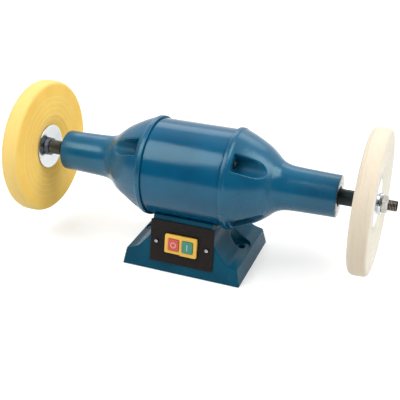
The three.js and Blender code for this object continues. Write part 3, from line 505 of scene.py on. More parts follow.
spigotEnd, neckEnd, rimRadius = turnedNode("end_bell_right")
bellSettings = {
    "rim": [(59.6, rimRadius), (65.6, rimRadius), (67.0, 73.8)],
    "rimSoftness": 0.9,
    "dome": [(67.0, 73.8), (70.0, 72.5), (74.0, 71.1), (84.0, 67.0), (96.0, 61.1), (108.0, 54.2),
             (118.0, 46.5), (126.0, 39.6), (134.0, 35.1), (144.0, 32.7), (160.0, 31.7), (180.0, 31.1),
             (200.0, 30.6), (neckEnd - 1.0, 30.3)],
    "domeSpacing": 1.6,
    "mouth": [(neckEnd - 0.35, 30.15), (neckEnd, 29.7), (neckEnd, 15.5), (neckEnd - 0.5, 15.0)],
    "hollow": [(207.4, 15.0), (207.4, 23.8), (190.8, 23.8), (190.8, 24.6), (149.5, 24.6)],
    "innerDome": [(141.0, 26.6), (119.0, 36.2), (99.0, 51.8), (75.0, 64.3)],
    "innerSpacing": 3.0,
    "spigot": [(64.5, 64.1), (spigotEnd, 64.1), (spigotEnd, 67.6), (59.6, 67.6)],
    "boltCircle": 60.4,
    "pocketRadius": 13.0,
    "pocketSeat": 72.0,
    "seatRows": (-1.0, -0.6, -0.3, 0.0, 0.3, 0.6, 1.0, 1.6),
    "seatRamp": 0.6,
    "seatHeight": 40,
    "pocketWall": 4.0,
    "wallLead": 0.5,
    "wallSlope": 24.0,
    "edgeSoftness": 0.8,
    "backSoftness": 1.0,
    "lip": 2.0,
    "lipFade": 4,
    "sunkDepth": 2.3,
    "bareMouth": (neckEnd - 0.45, 29.8),  # machined beyond this place and within this radius
    "bareSeat": (190, 25),
    "fans": [(0, 8.8, 1.8), (9.2, 14.6, 0.3), (16, 45, 2.4)],  # from, to and step, in degrees
}


# how far from the shaft a pocket's floor lies at each angle, with straight walls out to the surface
def pocketFloor(angles, radius, surface):
    s = bellSettings
    offset = (angles - pi / 4) % (pi / 2)
    offset = np.where(offset > pi / 4, offset - pi / 2, offset)
    side = np.abs(s["boltCircle"] * np.sin(offset))
    floor = s["boltCircle"] * np.cos(offset) - np.sqrt(np.maximum(radius ** 2 - side ** 2, 0))
    beyond = max(surface, s["boltCircle"]) * np.abs(np.sin(offset)) - radius + s["wallLead"]
    return floor + s["wallSlope"] * np.maximum(beyond, 0)


def softMinimum(first, second, reach):
    gap = np.maximum(reach - np.abs(first - second), 0) / reach
    return np.minimum(first, second) - gap ** 2 * reach / 4


# how much of the dome a pocket's rounded lip takes away beside its walls, fading out towards its tip
def lipDrop(angles, dome, step):
    s = bellSettings
    spread = np.linspace(0, pi / 12, 300)
    floor = pocketFloor(spread + pi / 4, s["pocketRadius"], dome) + step
    if floor[0] > dome:
        return 0
    edge = dome * np.sin(spread[np.argmax(floor > dome)])
    outside = dome * np.sin(np.abs(angles % (pi / 2) - pi / 4)) - edge
    bend = np.clip(1 - outside / s["lip"], 0, 1)
    strength = min((dome - floor[0]) / (s["lipFade"] * s["lip"]), 1)
    return s["lip"] * strength * (1 - np.sqrt(1 - bend ** 2))


# angles round a bell, closer together at the walls of its pockets
def bellAngles():
    near = np.concatenate([np.arange(*fan) for fan in bellSettings["fans"]])
    quarter = np.concatenate([45 - near[::-1][:-1], 45 + near])
    quarter = quarter[(quarter > 0.2) & (quarter < 89.8)]
    return np.radians(np.concatenate([[90 * i] + list(quarter + 90 * i) for i in range(4)]))


def endBell(end):
    s = bellSettings
    angles = bellAngles()
    seat, radius = s["pocketSeat"], s["pocketRadius"]
    rows = softCorners([s["spigot"][-1]] + s["rim"], s["rimSoftness"], 4, closed=False)
    line = smoothLine(s["dome"], s["domeSpacing"])
    places = np.unique(np.concatenate([line[:, 0], [seat + offset for offset in s["seatRows"]]]))
    for x in places[places > s["rim"][-1][0]]:
        dome = np.interp(x, line[:, 0], line[:, 1])
        share = np.clip((x - (seat - s["seatRamp"])) / (2 * s["seatRamp"]), 0, 1)
        step = (1 - share ** 2 * (3 - 2 * share)) * s["seatHeight"]
        cut = pocketFloor(angles, radius, dome) + step
        rows.append((x, softMinimum(dome - lipDrop(angles, dome, step), cut, s["edgeSoftness"])))
    rows += s["mouth"] + s["hollow"]
    for x, r in smoothLine(s["innerDome"], s["innerSpacing"]):
        backing = pocketFloor(angles, radius + s["pocketWall"], r)
        rows.append((x, r if x < seat - s["pocketWall"] else softMinimum(r, backing, s["backSoftness"])))
    rows += s["spigot"]
    mesh = aroundShaft("bell", [(ends[end] * x, r) for x, r in rows], angles)
    addPiece("bell_" + end, mesh, ["bellEnamel", "machinedFace", "pocketEnamel"], "machine_frame",
             ["end_bell_" + end], 42)
    # faces sunk below the dome take the darker pocket enamel, painted shade in the pockets
    for face in mesh.polygons:
        place, reach = abs(face.center.x) / mm, fromShaft(face.center)
        bare = any(place > start and reach < limit for start, limit in (s["bareMouth"], s["bareSeat"]))
        sunk = reach < np.interp(place, line[:, 0], line[:, 1]) - s["sunkDepth"]
        face.material_index = 1 if bare else 2 if sunk else 0


for end in ends:
    endBell(end)

housingSettings = {"bore": 67.9, "edge": 0.8, "sections": 9, "margin": 4, "facets": 160}


# the barrel is drawn in several bands, so that the paint's slight waviness has something to follow
def motorHousing():
    s = housingSettings
    start, stop, radius = turnedNode("motor_housing")
    bands = np.linspace(start + s["margin"], stop - s["margin"], s["sections"])
    outline = [(start, s["bore"], 0), (start, radius)] + [(x, radius, 0) for x in bands]
    outline += [(stop, radius), (stop, s["bore"], 0)]
    mesh = aroundShaft("housing", softCorners(outline, s["edge"]), evenAngles(s["facets"]))
    addPiece("housing_barrel", mesh, "barrelEnamel", "machine_frame", ["motor_housing"])


motorHousing()
print("motor castings made")

buffStart, buffEnd, buffReach = turnedNode("buff_right")
buffSettings = {
    "centre": (buffStart + buffEnd) / 2,
    "half": (buffEnd - buffStart) / 2,
    "radius": buffReach - 0.1,
    "near": [(8.3, 3.0), (17.5, 3.0), (34.9, 8.0), (42.0, 10.8), (50.0, 13.3)],
    "away": [(8.3, 6.0), (34.9, 6.0), (42.0, 8.4), (50.0, 9.9), (60.0, 10.9), (80.0, 12.8), (90.0, 13.3)],
    "facets": 240,
    "hubRows": [8.3, 12, 17.5, 26],
    "faceRows": (34.9, 1.15),  # from, step
    "clamped": 37.0,
    "cornerRadius": 5.5,
    "cornerTurns": (0.12, 1, 6),  # from and to, in quarter turns, and how many
    "crown": 0.8,
    "rimRows": 25,
    "rimMargin": 0.5,
    "rimDepth": 6.5,
    "sections": 3,
    "sectionGroove": 0.3,
    "grooveSharpness": 14,
    "ringGroove": 0.22,
    "ringWidth": 1.5,
    "raggedness": 0.3,
    "raggedFace": 0.25,
    "faceSag": 0.35,
    "waves": (5, 9, 17, 31, 53, 83),
    "waveHeights": (0.4, 1.0),
    "waveShare": 3,
}


# waves of several lengths round the wheel, the same each run
def ragged(angles, seed, size):
    s = buffSettings
    random = np.random.default_rng(seed)
    total = np.zeros_like(angles)
    for count in s["waves"]:
        total += np.sin(count * angles + random.uniform(0, 2 * pi)) * random.uniform(*s["waveHeights"])
    return size * total / s["waveShare"]


# how far a face stands from the wheel's middle: drawn in at the hub and at each row of stitches
def buffFace(radius, face):
    s = buffSettings
    radii, heights = zip(*s[face])
    height = np.interp(radius, radii, heights)
    for seam in clothSettings["seams"]:
        height -= s["ringGroove"] * np.exp(-((radius - seam) / s["ringWidth"]) ** 2)
    return height


# one wheel, from the middle of its motor side over the rim to the middle of its far side
def buffWheel(end, finish, seed):
    s = buffSettings
    angles = evenAngles(s["facets"])
    half, radius, corner = s["half"], s["radius"], s["cornerRadius"]
    shoulder = radius - s["crown"]
    start, step = s["faceRows"]
    radii = np.concatenate([s["hubRows"], np.arange(start, shoulder - corner, step)])
    near = [(-buffFace(r, "near"), r) for r in radii]
    away = [(buffFace(r, "away"), r) for r in radii[::-1]]
    turns = np.linspace(*s["cornerTurns"]) * pi / 2
    bend = [(half - corner * (1 - cos(t)), shoulder - corner * (1 - sin(t))) for t in turns]
    reach = half - corner - s["rimMargin"]
    rim = []
    for x in np.linspace(-reach, reach, s["rimRows"]):
        crown = s["crown"] * (1 - (x / half) ** 2)
        groove = abs(cos(pi * s["sections"] * (x / half + 1) / 2)) ** s["grooveSharpness"]
        rim.append((x, shoulder + crown - s["sectionGroove"] * groove))
    rows = []
    for i, (x, r) in enumerate(near + [(-x, r) for x, r in bend] + rim + bend[::-1] + away):
        onRim = r > radius - s["rimDepth"]
        wobble = ragged(angles, seed + i // 2, s["raggedness"] * (1 if onRim else s["raggedFace"]))
        if onRim:
            r = np.minimum(r + wobble, radius)
        elif r >= s["clamped"]:
            x = x - s["faceSag"] * abs(wobble) * np.sign(x)
        rows.append((ends[end] * (s["centre"] + x), r))
    mesh = aroundShaft("buff", rows, angles)
    addPiece("buff_wheel_" + end, mesh, finish, "spindle", ["buff_" + end], 60)


stitchSettings = {
    "length": 3.4,
    "step": 5.0,
    "jitter": 0.1,
    "width": 0.6,
    "height": 0.28,
    "lift": 0.08,
    "bow": 0.35,
    "sides": 6,
    "profile": ((-1, 0.2), (-0.75, 0.8), (0, 1), (0.75, 0.8), (1, 0.2)),
}


# rows of single stitches along each seam, their ends sunk into the cloth
def buffStitches(end, finish, seed):
    s = stitchSettings
    random = np.random.default_rng(seed)
    points, faces = [], []
    sides = s["sides"]
    for face, facing in (("near", -1), ("away", 1)):
        for seam in clothSettings["seams"]:
            surface = buffFace(seam, face) + s["lift"]
            count = int(2 * pi * seam / s["step"])
            for i in range(count):
                middle = 2 * pi * i / count + random.uniform(-s["jitter"], s["jitter"]) * s["step"] / seam
                base = len(points)
                for along, wide in s["profile"]:
                    angle = middle + along * s["length"] / 2 / seam
                    sunk = surface - s["bow"] * along ** 4
                    for turn in evenAngles(sides):
                        r = seam + wide * s["width"] / 2 * cos(turn)
                        height = facing * (sunk + wide * s["height"] * sin(turn))
                        x = ends[end] * (buffSettings["centre"] + height)
                        points.append((x * mm, r * cos(angle) * mm, r * sin(angle) * mm))
                for row in range(base, len(points) - sides, sides):
                    for k in range(sides):
                        a, b = row + k, row + (k + 1) % sides
                        faces.append((a, b, b + sides, a + sides))
                faces.append(tuple(range(base, base + sides)))
                faces.append(tuple(range(len(points) - sides, len(points))))
    mesh = cleanMesh("stitches", points, faces, shaftLine)
    addPiece("buff_stitches_" + end, mesh, finish, "spindle", (), 80)


buffWheel("left", "yellowCotton", 11)
buffWheel("right", "whiteCotton", 47)
buffStitches("left", "yellowThread", 5)
buffStitches("right", "whiteThread", 6)
print("buffs made")


# past a place along the shaft, crests get the second finish and the grooves between them the third, a
# dark one that is painted shade
def markRidges(mesh, start, crest):
    for face in mesh.polygons:
        if abs(face.center.x) / mm > start:
            face.material_index = 1 if fromShaft(face.center) > crest else 2


shaftEnd, shaftRadius = turnedNode("spindle_shaft")[1:]
spindleSettings = {
    "rotor": (44.0, shaftRadius, 0.6),  # end, radius, chamfer
    "journal": (191.7, 11.0, 0.4),
    "seatRadius": 10.0,
    "facets": 36,
    "thread": {"start": 247.4, "pitch": 2.0, "depth": 1.0, "radius": 8.0},
    "threadSteps": 9,
    "undercut": (0.8, 0.5),  # its start and end, before the thread
    "flank": 2.6,
    "crest": 0.15,
    "runOut": 1.6,
    "tipDrop": 0.35,
    "tipChamfer": (0.2, 0.6),  # along, in
    "bright": 0.55,
}


# the spindle with a real helical thread on each end
def spindle():
    s = spindleSettings
    angles = evenAngles(s["facets"])
    start, pitch, depth, crest = s["thread"].values()
    (rotor, rotorRadius, rotorEdge), (journal, journalRadius, journalEdge) = s["rotor"], s["journal"]
    half = [(rotor - rotorEdge, rotorRadius), (rotor, rotorRadius - rotorEdge), (rotor, journalRadius),
            (journal - journalEdge, journalRadius), (journal, journalRadius - journalEdge),
            (journal, s["seatRadius"]), (start - s["undercut"][0], s["seatRadius"]),
            (start - s["undercut"][1], crest - depth)]
    for x in np.arange(start, shaftEnd - s["tipChamfer"][0], pitch / s["threadSteps"]):
        turn = (x / pitch - angles / (2 * pi)) % 1
        ridge = 1 - np.clip(np.abs(turn - 0.5) * s["flank"] - s["crest"], 0, 1)
        run = np.clip((shaftEnd - x) / s["runOut"], 0, 1)
        half.append((x, crest - depth * (1 - ridge * run) - s["tipDrop"] * (1 - run)))
    half += [(shaftEnd, crest - depth - s["tipChamfer"][1]), (shaftEnd, 0)]
    mesh = aroundShaft("spindle", [(-x, r) for x, r in half[::-1]] + half, angles, ring=False)
    addPiece("spindle_threaded", mesh, ["shaftSteel", "brownSteel", "shadedRootSteel"], "spindle",
             ["spindle_shaft"], 50)
    # the thread's grooves take the dark finish, painted shade
    markRidges(mesh, start - 1, crest - s["bright"] * depth)


spindle()

sleeveSettings = {
    "bore": 10.3,
    "stepPlace": {"left": 228.0, "right": 240.0},
    "edge": 0.5,
    "stepEdge": 0.4,
    "bands": 6,
    "bandMargin": 3,
    "ridgePitch": 2.3,
    "ridgeDepth": 0.6,
    "ridgeDrop": 0.35,
    "ridgeSteps": 8,
    "ridgeMargin": 0.3,
    "endDrop": 0.9,
    "facets": 64,
}


# a black sleeve by the neck, and beyond its step the brown ridged length that runs up to the jam nut
def sleeve(end):
    s = sleeveSettings
    start, stop, radius = turnedNode("spacer_sleeve_right")
    step = s["stepPlace"][end]
    crest = radius - s["ridgeDrop"]
    rows = [(start, s["bore"]), (start, radius - s["edge"]), (start + s["edge"], radius)]
    bands = np.linspace(start + s["bandMargin"], step - s["stepEdge"], s["bands"])
    rows += [(x, radius) for x in bands]
    rows += [(step, radius - s["stepEdge"])]
    margin = s["ridgeMargin"]
    for x in np.arange(step + margin, stop - margin, s["ridgePitch"] / s["ridgeSteps"]):
        wave = 0.5 + 0.5 * cos(2 * pi * (x - step) / s["ridgePitch"])
        rows.append((x, crest - s["ridgeDepth"] * wave ** 2))
    rows += [(stop, radius - s["endDrop"]), (stop, s["bore"])]
    mesh = aroundShaft("sleeve", [(ends[end] * x, r) for x, r in rows], evenAngles(s["facets"]))
    addPiece("sleeve_" + end, mesh, ["blackSteel", "ridgedSteel", "shadedRootSteel"], "spindle",
             ["spacer_sleeve_" + end], 40)
    # the ridges' grooves take the dark finish, painted shade
    markRidges(mesh, step, crest - 0.5 * s["ridgeDepth"])


nutSettings = {
    "shaftFacets": 72,
    "shaftBore": 8.3,
    "tieFacets": 48,
    "tieApothem": 5.0,
    "tieBore": 3.3,
    "boreChamfer": 0.6,
    "faceShare": 0.96,
    "edgeShare": 0.97,
    "chamferSlope": 1.75,
    "chamferRows": (0.0, 0.25, 0.6, 1.0, 1.5),
}


# the radius of a hexagon at each angle, from half its width across flats
def hexagonRadius(angles, apothem):
    return apothem / np.cos((angles + pi / 6) % (pi / 3) - pi / 6)


# a hexagonal nut with both faces chamfered to a circle
def hexNut(start, stop, apothem, bore, facets, side, matrix=shaftLine):
    s = nutSettings
    angles = evenAngles(facets)
    hexagon = hexagonRadius(angles, apothem)
    half = [(s["boreChamfer"], bore), (0, bore + s["boreChamfer"]), (0, apothem * s["faceShare"])]
    for depth in s["chamferRows"]:
        chamfer = apothem * s["edgeShare"] + depth * s["chamferSlope"]
        half.append((depth, np.minimum(hexagon, chamfer)))
    rows = [(start + depth, r) for depth, r in half] + [(stop - depth, r) for depth, r in half[::-1]]
    return aroundShaft("nut", [(side * x, r) for x, r in rows], angles, matrix)


def shaftNut(end, node, finish):
    s = nutSettings
    mesh = hexNut(*turnedNode(node + "_right"), s["shaftBore"], s["shaftFacets"], ends[end])
    addPiece(node + "_detail_" + end, mesh, finish, "spindle", [node + "_" + end], 25)


flangeSettings = {
    "facets": 96,
    "bore": 8.3,
    "edge": 0.3,
    "saucer": {"thickness": 2.0, "floor": 17.5, "lip": 1.6, "bend": 3.0, "lipBend": 1.0,
               "rimBend": 0.8},
    "hub": {"rim": 2.4, "dish": 2.2, "radius": 15.0, "land": 8.0, "recess": 1.4, "web": 5.0,
            "rimSlope": 1.2},
}


# the sheet saucer that the jam nut sits in, open towards the motor
def saucerOutline():
    s, edge = flangeSettings["saucer"], flangeSettings["edge"]
    back, face, radius = turnedNode("inner_flange_right")
    front, lip, bore = back + s["thickness"], radius - s["lip"], flangeSettings["bore"]
    return [(face, bore, edge), (face, s["floor"], s["bend"]), (front, lip, s["lipBend"]),
            (front, radius, edge), (back, radius, s["rimBend"]), (back, lip, s["lipBend"]),
            (face - s["thickness"], s["floor"], s["bend"]), (face - s["thickness"], bore, edge)]


# the turned flange under the outer nut, with a land at its rim and a hub
def hubOutline():
    s, edge = flangeSettings["hub"], flangeSettings["edge"]
    face, front, radius = turnedNode("outer_flange_right")
    rim, hub, land, bore = face + s["rim"], s["radius"], radius - s["land"], flangeSettings["bore"]
    return [(front, bore, edge), (front, hub, 0.6), (rim + s["dish"], hub, 0.8),
            (rim + 0.5, radius - s["web"], 3.0), (rim + 0.1, radius - s["rimSlope"], 0.8),
            (rim - 1.0, radius, 0.7), (face, radius, edge),
            (face, land, edge), (face + s["recess"], land - 0.6, edge), (face + s["recess"], bore, edge)]


def clampFlange(end, node, outline):
    rows = [(ends[end] * x, r) for x, r in softCorners(outline, 0)]
    mesh = aroundShaft("flange", rows, evenAngles(flangeSettings["facets"]))
    addPiece(node + "_detail_" + end, mesh, "polishedSteel", "spindle",
             [node + "_" + end], 30)


for end in ends:
    sleeve(end)
    shaftNut(end, "jam_nut", "greySteel")
    shaftNut(end, "outer_nut", "palestZinc")
    clampFlange(end, "inner_flange", saucerOutline())
    clampFlange(end, "outer_flange", hubOutline())
print("spindle pieces made")


# applies a piece's modifiers and gives the mesh that results
def settled(piece):
    graph = bpy.context.evaluated_depsgraph_get()
    mesh = bpy.data.meshes.new_from_object(piece.evaluated_get(graph))
    bpy.data.objects.remove(piece)
    return mesh


def workPiece(data):
    piece = bpy.data.objects.new("work", data)
    bpy.context.collection.objects.link(piece)
    return piece


def cut(mesh, tool, operation="DIFFERENCE"):
    base, other = workPiece(mesh), workPiece(tool)
    modifier = base.modifiers.new("cut", "BOOLEAN")
    modifier.operation, modifier.object, modifier.solver = operation, other, "EXACT"
    result = settled(base)
    bpy.data.objects.remove(other)
    return result


# several separate cutters as one mesh
def together(meshes):
    work = bmesh.new()
    for mesh in meshes:
        work.from_mesh(mesh)
    joined = bpy.data.meshes.new("together")
    work.to_mesh(joined)
    work.free()
    return joined


# a straight prism of an outline, in millimetres; the matrix lays it down
def prism(outline, low, high, matrix=Matrix.Identity(4)):
    count = len(outline)
    points = [(x * mm, y * mm, z * mm) for z in (low, high) for x, y in outline]
    faces = [tuple(range(count))[::-1], tuple(range(count, 2 * count))]
    faces += [(i, (i + 1) % count, count + (i + 1) % count, count + i) for i in range(count)]
    return cleanMesh("prism", points, faces, matrix)


def rectangle(left, right, low, high):
    return [(left, low), (right, low), (right, high), (left, high)]


def circle(x, y, radius, steps=32):
    return [(x + radius * cos(a), y + radius * sin(a)) for a in evenAngles(steps)]


def at(x, y, z):
    return Matrix.Translation(Vector((x, y, z)) * mm)


# a form turned about an upright line
def upright(outline, x, y, steps=48, matrix=Matrix.Identity(4)):
    lie = Matrix.Translation((x * mm, y * mm, 0)) @ Matrix.Rotation(-pi / 2, 4, "Y")
    return aroundShaft("turned", outline, evenAngles(steps), matrix @ lie, ring=False)


# the outline of a plain round rod, to be turned about its line
def rod(low, high, radius):
    return [(low, 0), (low, radius), (high, radius), (high, 0)]


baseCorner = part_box("base_casting")[1] / mm
baseSettings = {
    "halfLength": round(baseCorner.x, 3),
    "halfWidth": round(baseCorner.y, 3),
    "top": round(baseCorner.z, 3),
    "wall": 5.0,
    "lean": radians(10),
    "blend": [(88.2, 26.0), (82.9, 27.2), (75.1, 29.6), (67.7, 34.4), (61.5, 41.2), (55.4, 48.4),
              (50.1, 56.4), (47.2, 66.0), (46.2, 87.4)],
    "blendSpacing": 2.5,
    "saddleRadius": 72.6,
    "saddleWall": 6.0,
    "saddleSteps": 160,
    "saddleReach": 120,
    "under": -2,
    "boltPlace": (72.0, 5.0),
    "boltRadius": 5,
    "bossRadius": 9,
    "bossRows": (-4, 18, 95),  # foot, seat's underside, top
    "seatHeight": 24.0,
    "seatRadius": 13.5,
    "flareRadius": 18.1,
    "flareTop": 52.0,
    "postPlace": (76.2, 50.0),
    "post": (4.4, 28, 5),  # foot, top, radius
    "postSteps": 24,
    "window": (-23.2, 26.0, 33.7, 63.7),  # left, right, bottom, top
    "wallCut": (-9, 3),  # from behind the wall to before it
    "glandPlace": (28, 30),
    "glandHole": 8.3,
    "glandSteps": 32,
    "voxel": 1.1,
    "smoothing": (0.5, 3),  # factor, rounds
    "flattened": 0.9,
}
frontPanel = Matrix.Translation((0, -baseSettings["halfWidth"] * mm, 0))
frontPanel = frontPanel @ Matrix.Rotation(pi / 2 - baseSettings["lean"], 4, "X")
backPanel = Matrix.Rotation(pi, 4, "Z") @ frontPanel
alongWidth = Matrix.Rotation(pi / 2, 4, "X")
alongLength = Matrix.Rotation(pi / 2, 4, "Z") @ alongWidth


def baseOutline(inset, low):
    s = baseSettings
    right = [(s["halfLength"] - inset, low)]
    right += [(x - inset, z - inset) for x, z in smoothLine(s["blend"], s["blendSpacing"])]
    return right + [(-x, z) for x, z in right[::-1]]


def endOutline(inset, low):
    s = baseSettings
    foot, top = (s["halfWidth"] - z * tan(s["lean"]) - inset / cos(s["lean"]) for z in (low, s["top"]))
    return [(-foot, low), (foot, low), (top, s["top"]), (-top, s["top"])]


def baseBlock(inset, low):
    s = baseSettings
    first = prism(baseOutline(inset, low), -s["halfWidth"], s["halfWidth"], alongWidth)
    second = prism(endOutline(inset, low), -s["halfLength"], s["halfLength"], alongLength)
    return cut(first, second, "INTERSECT")


# a rod on the shaft's line, longer than the base
def lyingRod(radius):
    s = baseSettings
    outline = rod(-s["saddleReach"], s["saddleReach"], radius)
    return aroundShaft("rod", outline, evenAngles(s["saddleSteps"]), ring=False)


# the casting: hollow plinth, two feet with bolt seats, and the saddle; remeshed for soft edges
def baseCasting():
    s = baseSettings
    x, y = s["boltPlace"]
    postX, postY = s["postPlace"]
    foot, floor, top = s["bossRows"]
    reach, seat, seatRadius = s["seatRadius"] + s["wall"], s["seatHeight"], s["seatRadius"]
    boss = [(foot, 0), (foot, s["bossRadius"]), (floor, s["bossRadius"]), (floor, reach), (top, reach),
            (top, 0)]
    hole = [(s["under"], 0), (s["under"], s["boltRadius"]), (seat, s["boltRadius"]), (seat, seatRadius),
            (s["flareTop"], s["flareRadius"]), (s["flareTop"], 0)]
    bosses, cuts = [], [lyingRod(s["saddleRadius"])]
    for side in (-1, 1):
        bosses.append(upright(boss, side * x, y))
        bosses += [upright(rod(*s["post"]), side * postX, end * postY, s["postSteps"]) for end in (-1, 1)]
        cuts.append(upright(hole, side * x, y))
    cuts.append(prism(rectangle(*s["window"]), *s["wallCut"], frontPanel))
    cuts.append(upright(rod(*s["wallCut"], s["glandHole"]), *s["glandPlace"], s["glandSteps"], backPanel))
    cavity = cut(baseBlock(s["wall"], s["under"]), lyingRod(s["saddleRadius"] + s["saddleWall"]))
    cavity = cut(cavity, together(bosses))
    work = workPiece(cut(cut(baseBlock(0, 0), cavity), together(cuts)))
    remesh = work.modifiers.new("remesh", "REMESH")
    remesh.mode, remesh.voxel_size, remesh.use_smooth_shade = "VOXEL", s["voxel"] * mm, True
    soften = work.modifiers.new("soften", "SMOOTH")
    soften.factor, soften.iterations = s["smoothing"]
    mesh = settled(work)
    low = min(v.co.z for v in mesh.vertices)
    for v in mesh.vertices:
        if v.co.z < low + s["flattened"] * mm:
            v.co.z = 0
    # the casting takes the darker base enamel, which is painted shade
    addPiece("base_casting_detail", mesh, "baseEnamel", "machine_frame", ["base_casting"], 80)


baseCasting()
print("base casting made")


# a flat plate on the front panel: the first outline is its edge, the others are its holes
def roundedPlate(outlines, low, high, edge):
    curve = bpy.data.curves.new("plate", "CURVE")
    curve.dimensions, curve.fill_mode = "2D", "BOTH"
    curve.extrude = (high - low) / 2 * mm - edge * mm
    curve.bevel_depth, curve.bevel_resolution, curve.offset = edge * mm, 3, -edge * mm
    for outline in outlines:
        spline = curve.splines.new("POLY")
        spline.points.add(len(outline) - 1)
        spline.use_cyclic_u = True
        for point, (x, y) in zip(spline.points, outline):
            point.co = (x * mm, y * mm, 0, 1)
    mesh = settled(workPiece(curve))
    mesh.transform(frontPanel @ Matrix.Translation((0, 0, (low + high) / 2 * mm)))
    mesh.materials.clear()
    return welded(mesh)


def roundedBox(x, y, width, height, corner, steps=6):
    points = []
    for i, (sx, sy) in enumerate(((1, 1), (-1, 1), (-1, -1), (1, -1))):
        for t in np.linspace(0, pi / 2, steps):
            angle = i * pi / 2 + t
            points.append((x + sx * (width / 2 - corner) + corner * cos(angle),
                           y + sy * (height / 2 - corner) + corner * sin(angle)))
    return points


panelSettings = {
    "plate": {"place": (1.3, 49.2), "shape": (99.8, 66, 1.2), "span": (0.3, 2.5), "edge": 0.35},
    "screws": {"spread": 39.9, "y": 48.7, "hole": 2.1},
    "bezel": {"place": (1.4, 48.7), "shape": (50.4, 30.6, 2.2), "span": (2.8, 6.8), "edge": 0.7,
              "step": 1.2, "notch": (-0.9, -0.3)},
    "window": (47.6, 27.6, 1.0),
    "button": {"shape": (16.6, 17.8, 1.2), "pitch": 21.8, "span": (-4, 8.3), "edge": 0.8, "gap": 0.4},
    "mark": {"span": (8.2, 8.55), "edge": 0.1, "ring": (4.6, 3.1), "ringSteps": 40,
             "bar": (1.9, 10, 0.6)},
}


def panelPiece(name, outlines, kind, finish, body, stands=()):
    s = panelSettings[kind]
    addPiece(name, roundedPlate(outlines, *s["span"], s["edge"]), finish, body, stands)


def switchPanel():
    s = panelSettings
    plate, screws, bezel, button = (s[key] for key in ("plate", "screws", "bezel", "button"))
    x, y = bezel["place"]
    holes = [roundedBox(x, y, *s["window"])]
    for side in (-1, 1):
        holes.append(circle(plate["place"][0] + side * screws["spread"], screws["y"], screws["hole"]))
    board = roundedBox(*plate["place"], *plate["shape"])
    panelPiece("switch_plate_detail", [board] + holes, "plate", "blackPlate", "machine_frame",
               ["switch_plate"])
    stopX, startX = (x + side * button["pitch"] / 2 for side in (-1, 1))
    width, height, corner = button["shape"]
    gap = button["gap"]
    well = width + 2 * gap, height + 2 * gap, corner + gap
    wells = [roundedBox(place, y, *well) for place in (stopX, startX)]
    edge = roundedBox(x, y, *bezel["shape"])
    quarter, foot = len(edge) // 4, y - bezel["shape"][1] / 2
    raised = [(px, py + bezel["step"]) for px, py in edge[2 * quarter:3 * quarter]]
    middle = [(x + bezel["notch"][0], foot + bezel["step"]), (x + bezel["notch"][1], foot)]
    rim = edge[:2 * quarter] + raised + middle + edge[3 * quarter:]
    panelPiece("switch_bezel_detail", [rim] + wells, "bezel", "yellowPlastic", "machine_frame",
               ["switch_bezel"])
    for name, place, colour in (("stop_button", stopX, "red"), ("start_button", startX, "green")):
        cap = roundedBox(place, y, *button["shape"])
        panelPiece(name + "_cap", [cap], "button", colour + "Plastic", name, [name])
    ring = [circle(stopX, y, radius, s["mark"]["ringSteps"]) for radius in s["mark"]["ring"]]
    panelPiece("stop_mark", ring, "mark", "pinkMark", "stop_button")
    bar = roundedBox(startX, y, *s["mark"]["bar"])
    panelPiece("start_mark", [bar], "mark", "paleMark", "start_button")


switchPanel()

screwSettings = {
    "plate_screw": {"head": 3.4, "height": 2.0, "shank": 1.75, "length": 9.0, "slot": 0.7},
    "cover_screw": {"head": 3.6, "height": 2.0, "shank": 1.85, "length": 9.0, "slot": 0.8},
    "tie_bolt": {"head": 5.4, "height": 4.4, "shank": 2.95, "length": 151.0, "slot": 1.2},
    "saddle_bolt": {"head": 6.5, "height": 5.0, "shank": 3.95, "length": 10.3, "slot": 0.0},
}
screwShape = {
    "steps": 32,
    "tip": (0.4, 0.5),  # in, along
    "brim": 0.2,
    "shoulder": (0.55, 0.5),  # its height and rounding, as shares of the head's height
    "crown": (0.55, 0.4),  # its radius and rounding, as shares of the head's radius and height
    "crossReach": 0.62,
    "crossFloor": 0.45,
    "socketRadius": 3.0,
    "socketFloor": 0.4,
}


# a pan-head screw with a cross cut in its head, or a plain round-head one with a hexagon socket
def screwMesh(kind):
    s, shape = screwSettings[kind], screwShape
    head, height, shank, length = s["head"], s["height"], s["shank"], s["length"]
    taper, rise = shape["tip"]
    (shoulder, shoulderBend), (crown, crownBend) = shape["shoulder"], shape["crown"]
    outline = [(-length, 0), (-length, shank - taper), (rise - length, shank), (0, shank),
               (0, head, shape["brim"]), (height * shoulder, head, height * shoulderBend),
               (height, head * crown, height * crownBend), (height, 0)]
    mesh = upright(softCorners(outline, 0, 4, closed=False), 0, 0, shape["steps"])
    if not s["slot"]:
        socket = circle(0, 0, shape["socketRadius"], 6)
        return cut(mesh, prism(socket, height * shape["socketFloor"], height + 1))
    arm, slit = head * shape["crossReach"], s["slot"] / 2
    for wide, deep in ((arm, slit), (slit, arm)):
        tool = rectangle(-wide, wide, -deep, deep)
        mesh = cut(mesh, prism(tool, height * shape["crossFloor"], height + 1))
    return mesh


fixingSettings = {
    "plateDepth": 2.8,
    "plateTurn": 0.4,
    # the radius beyond which a plate screw head is painted black as shadow
    "plateShadowRadius": 2.4,
    "saddlePlace": (30, 61.4),
    "coverDepth": 2.3,
    "tieTurn": 0.5,
}


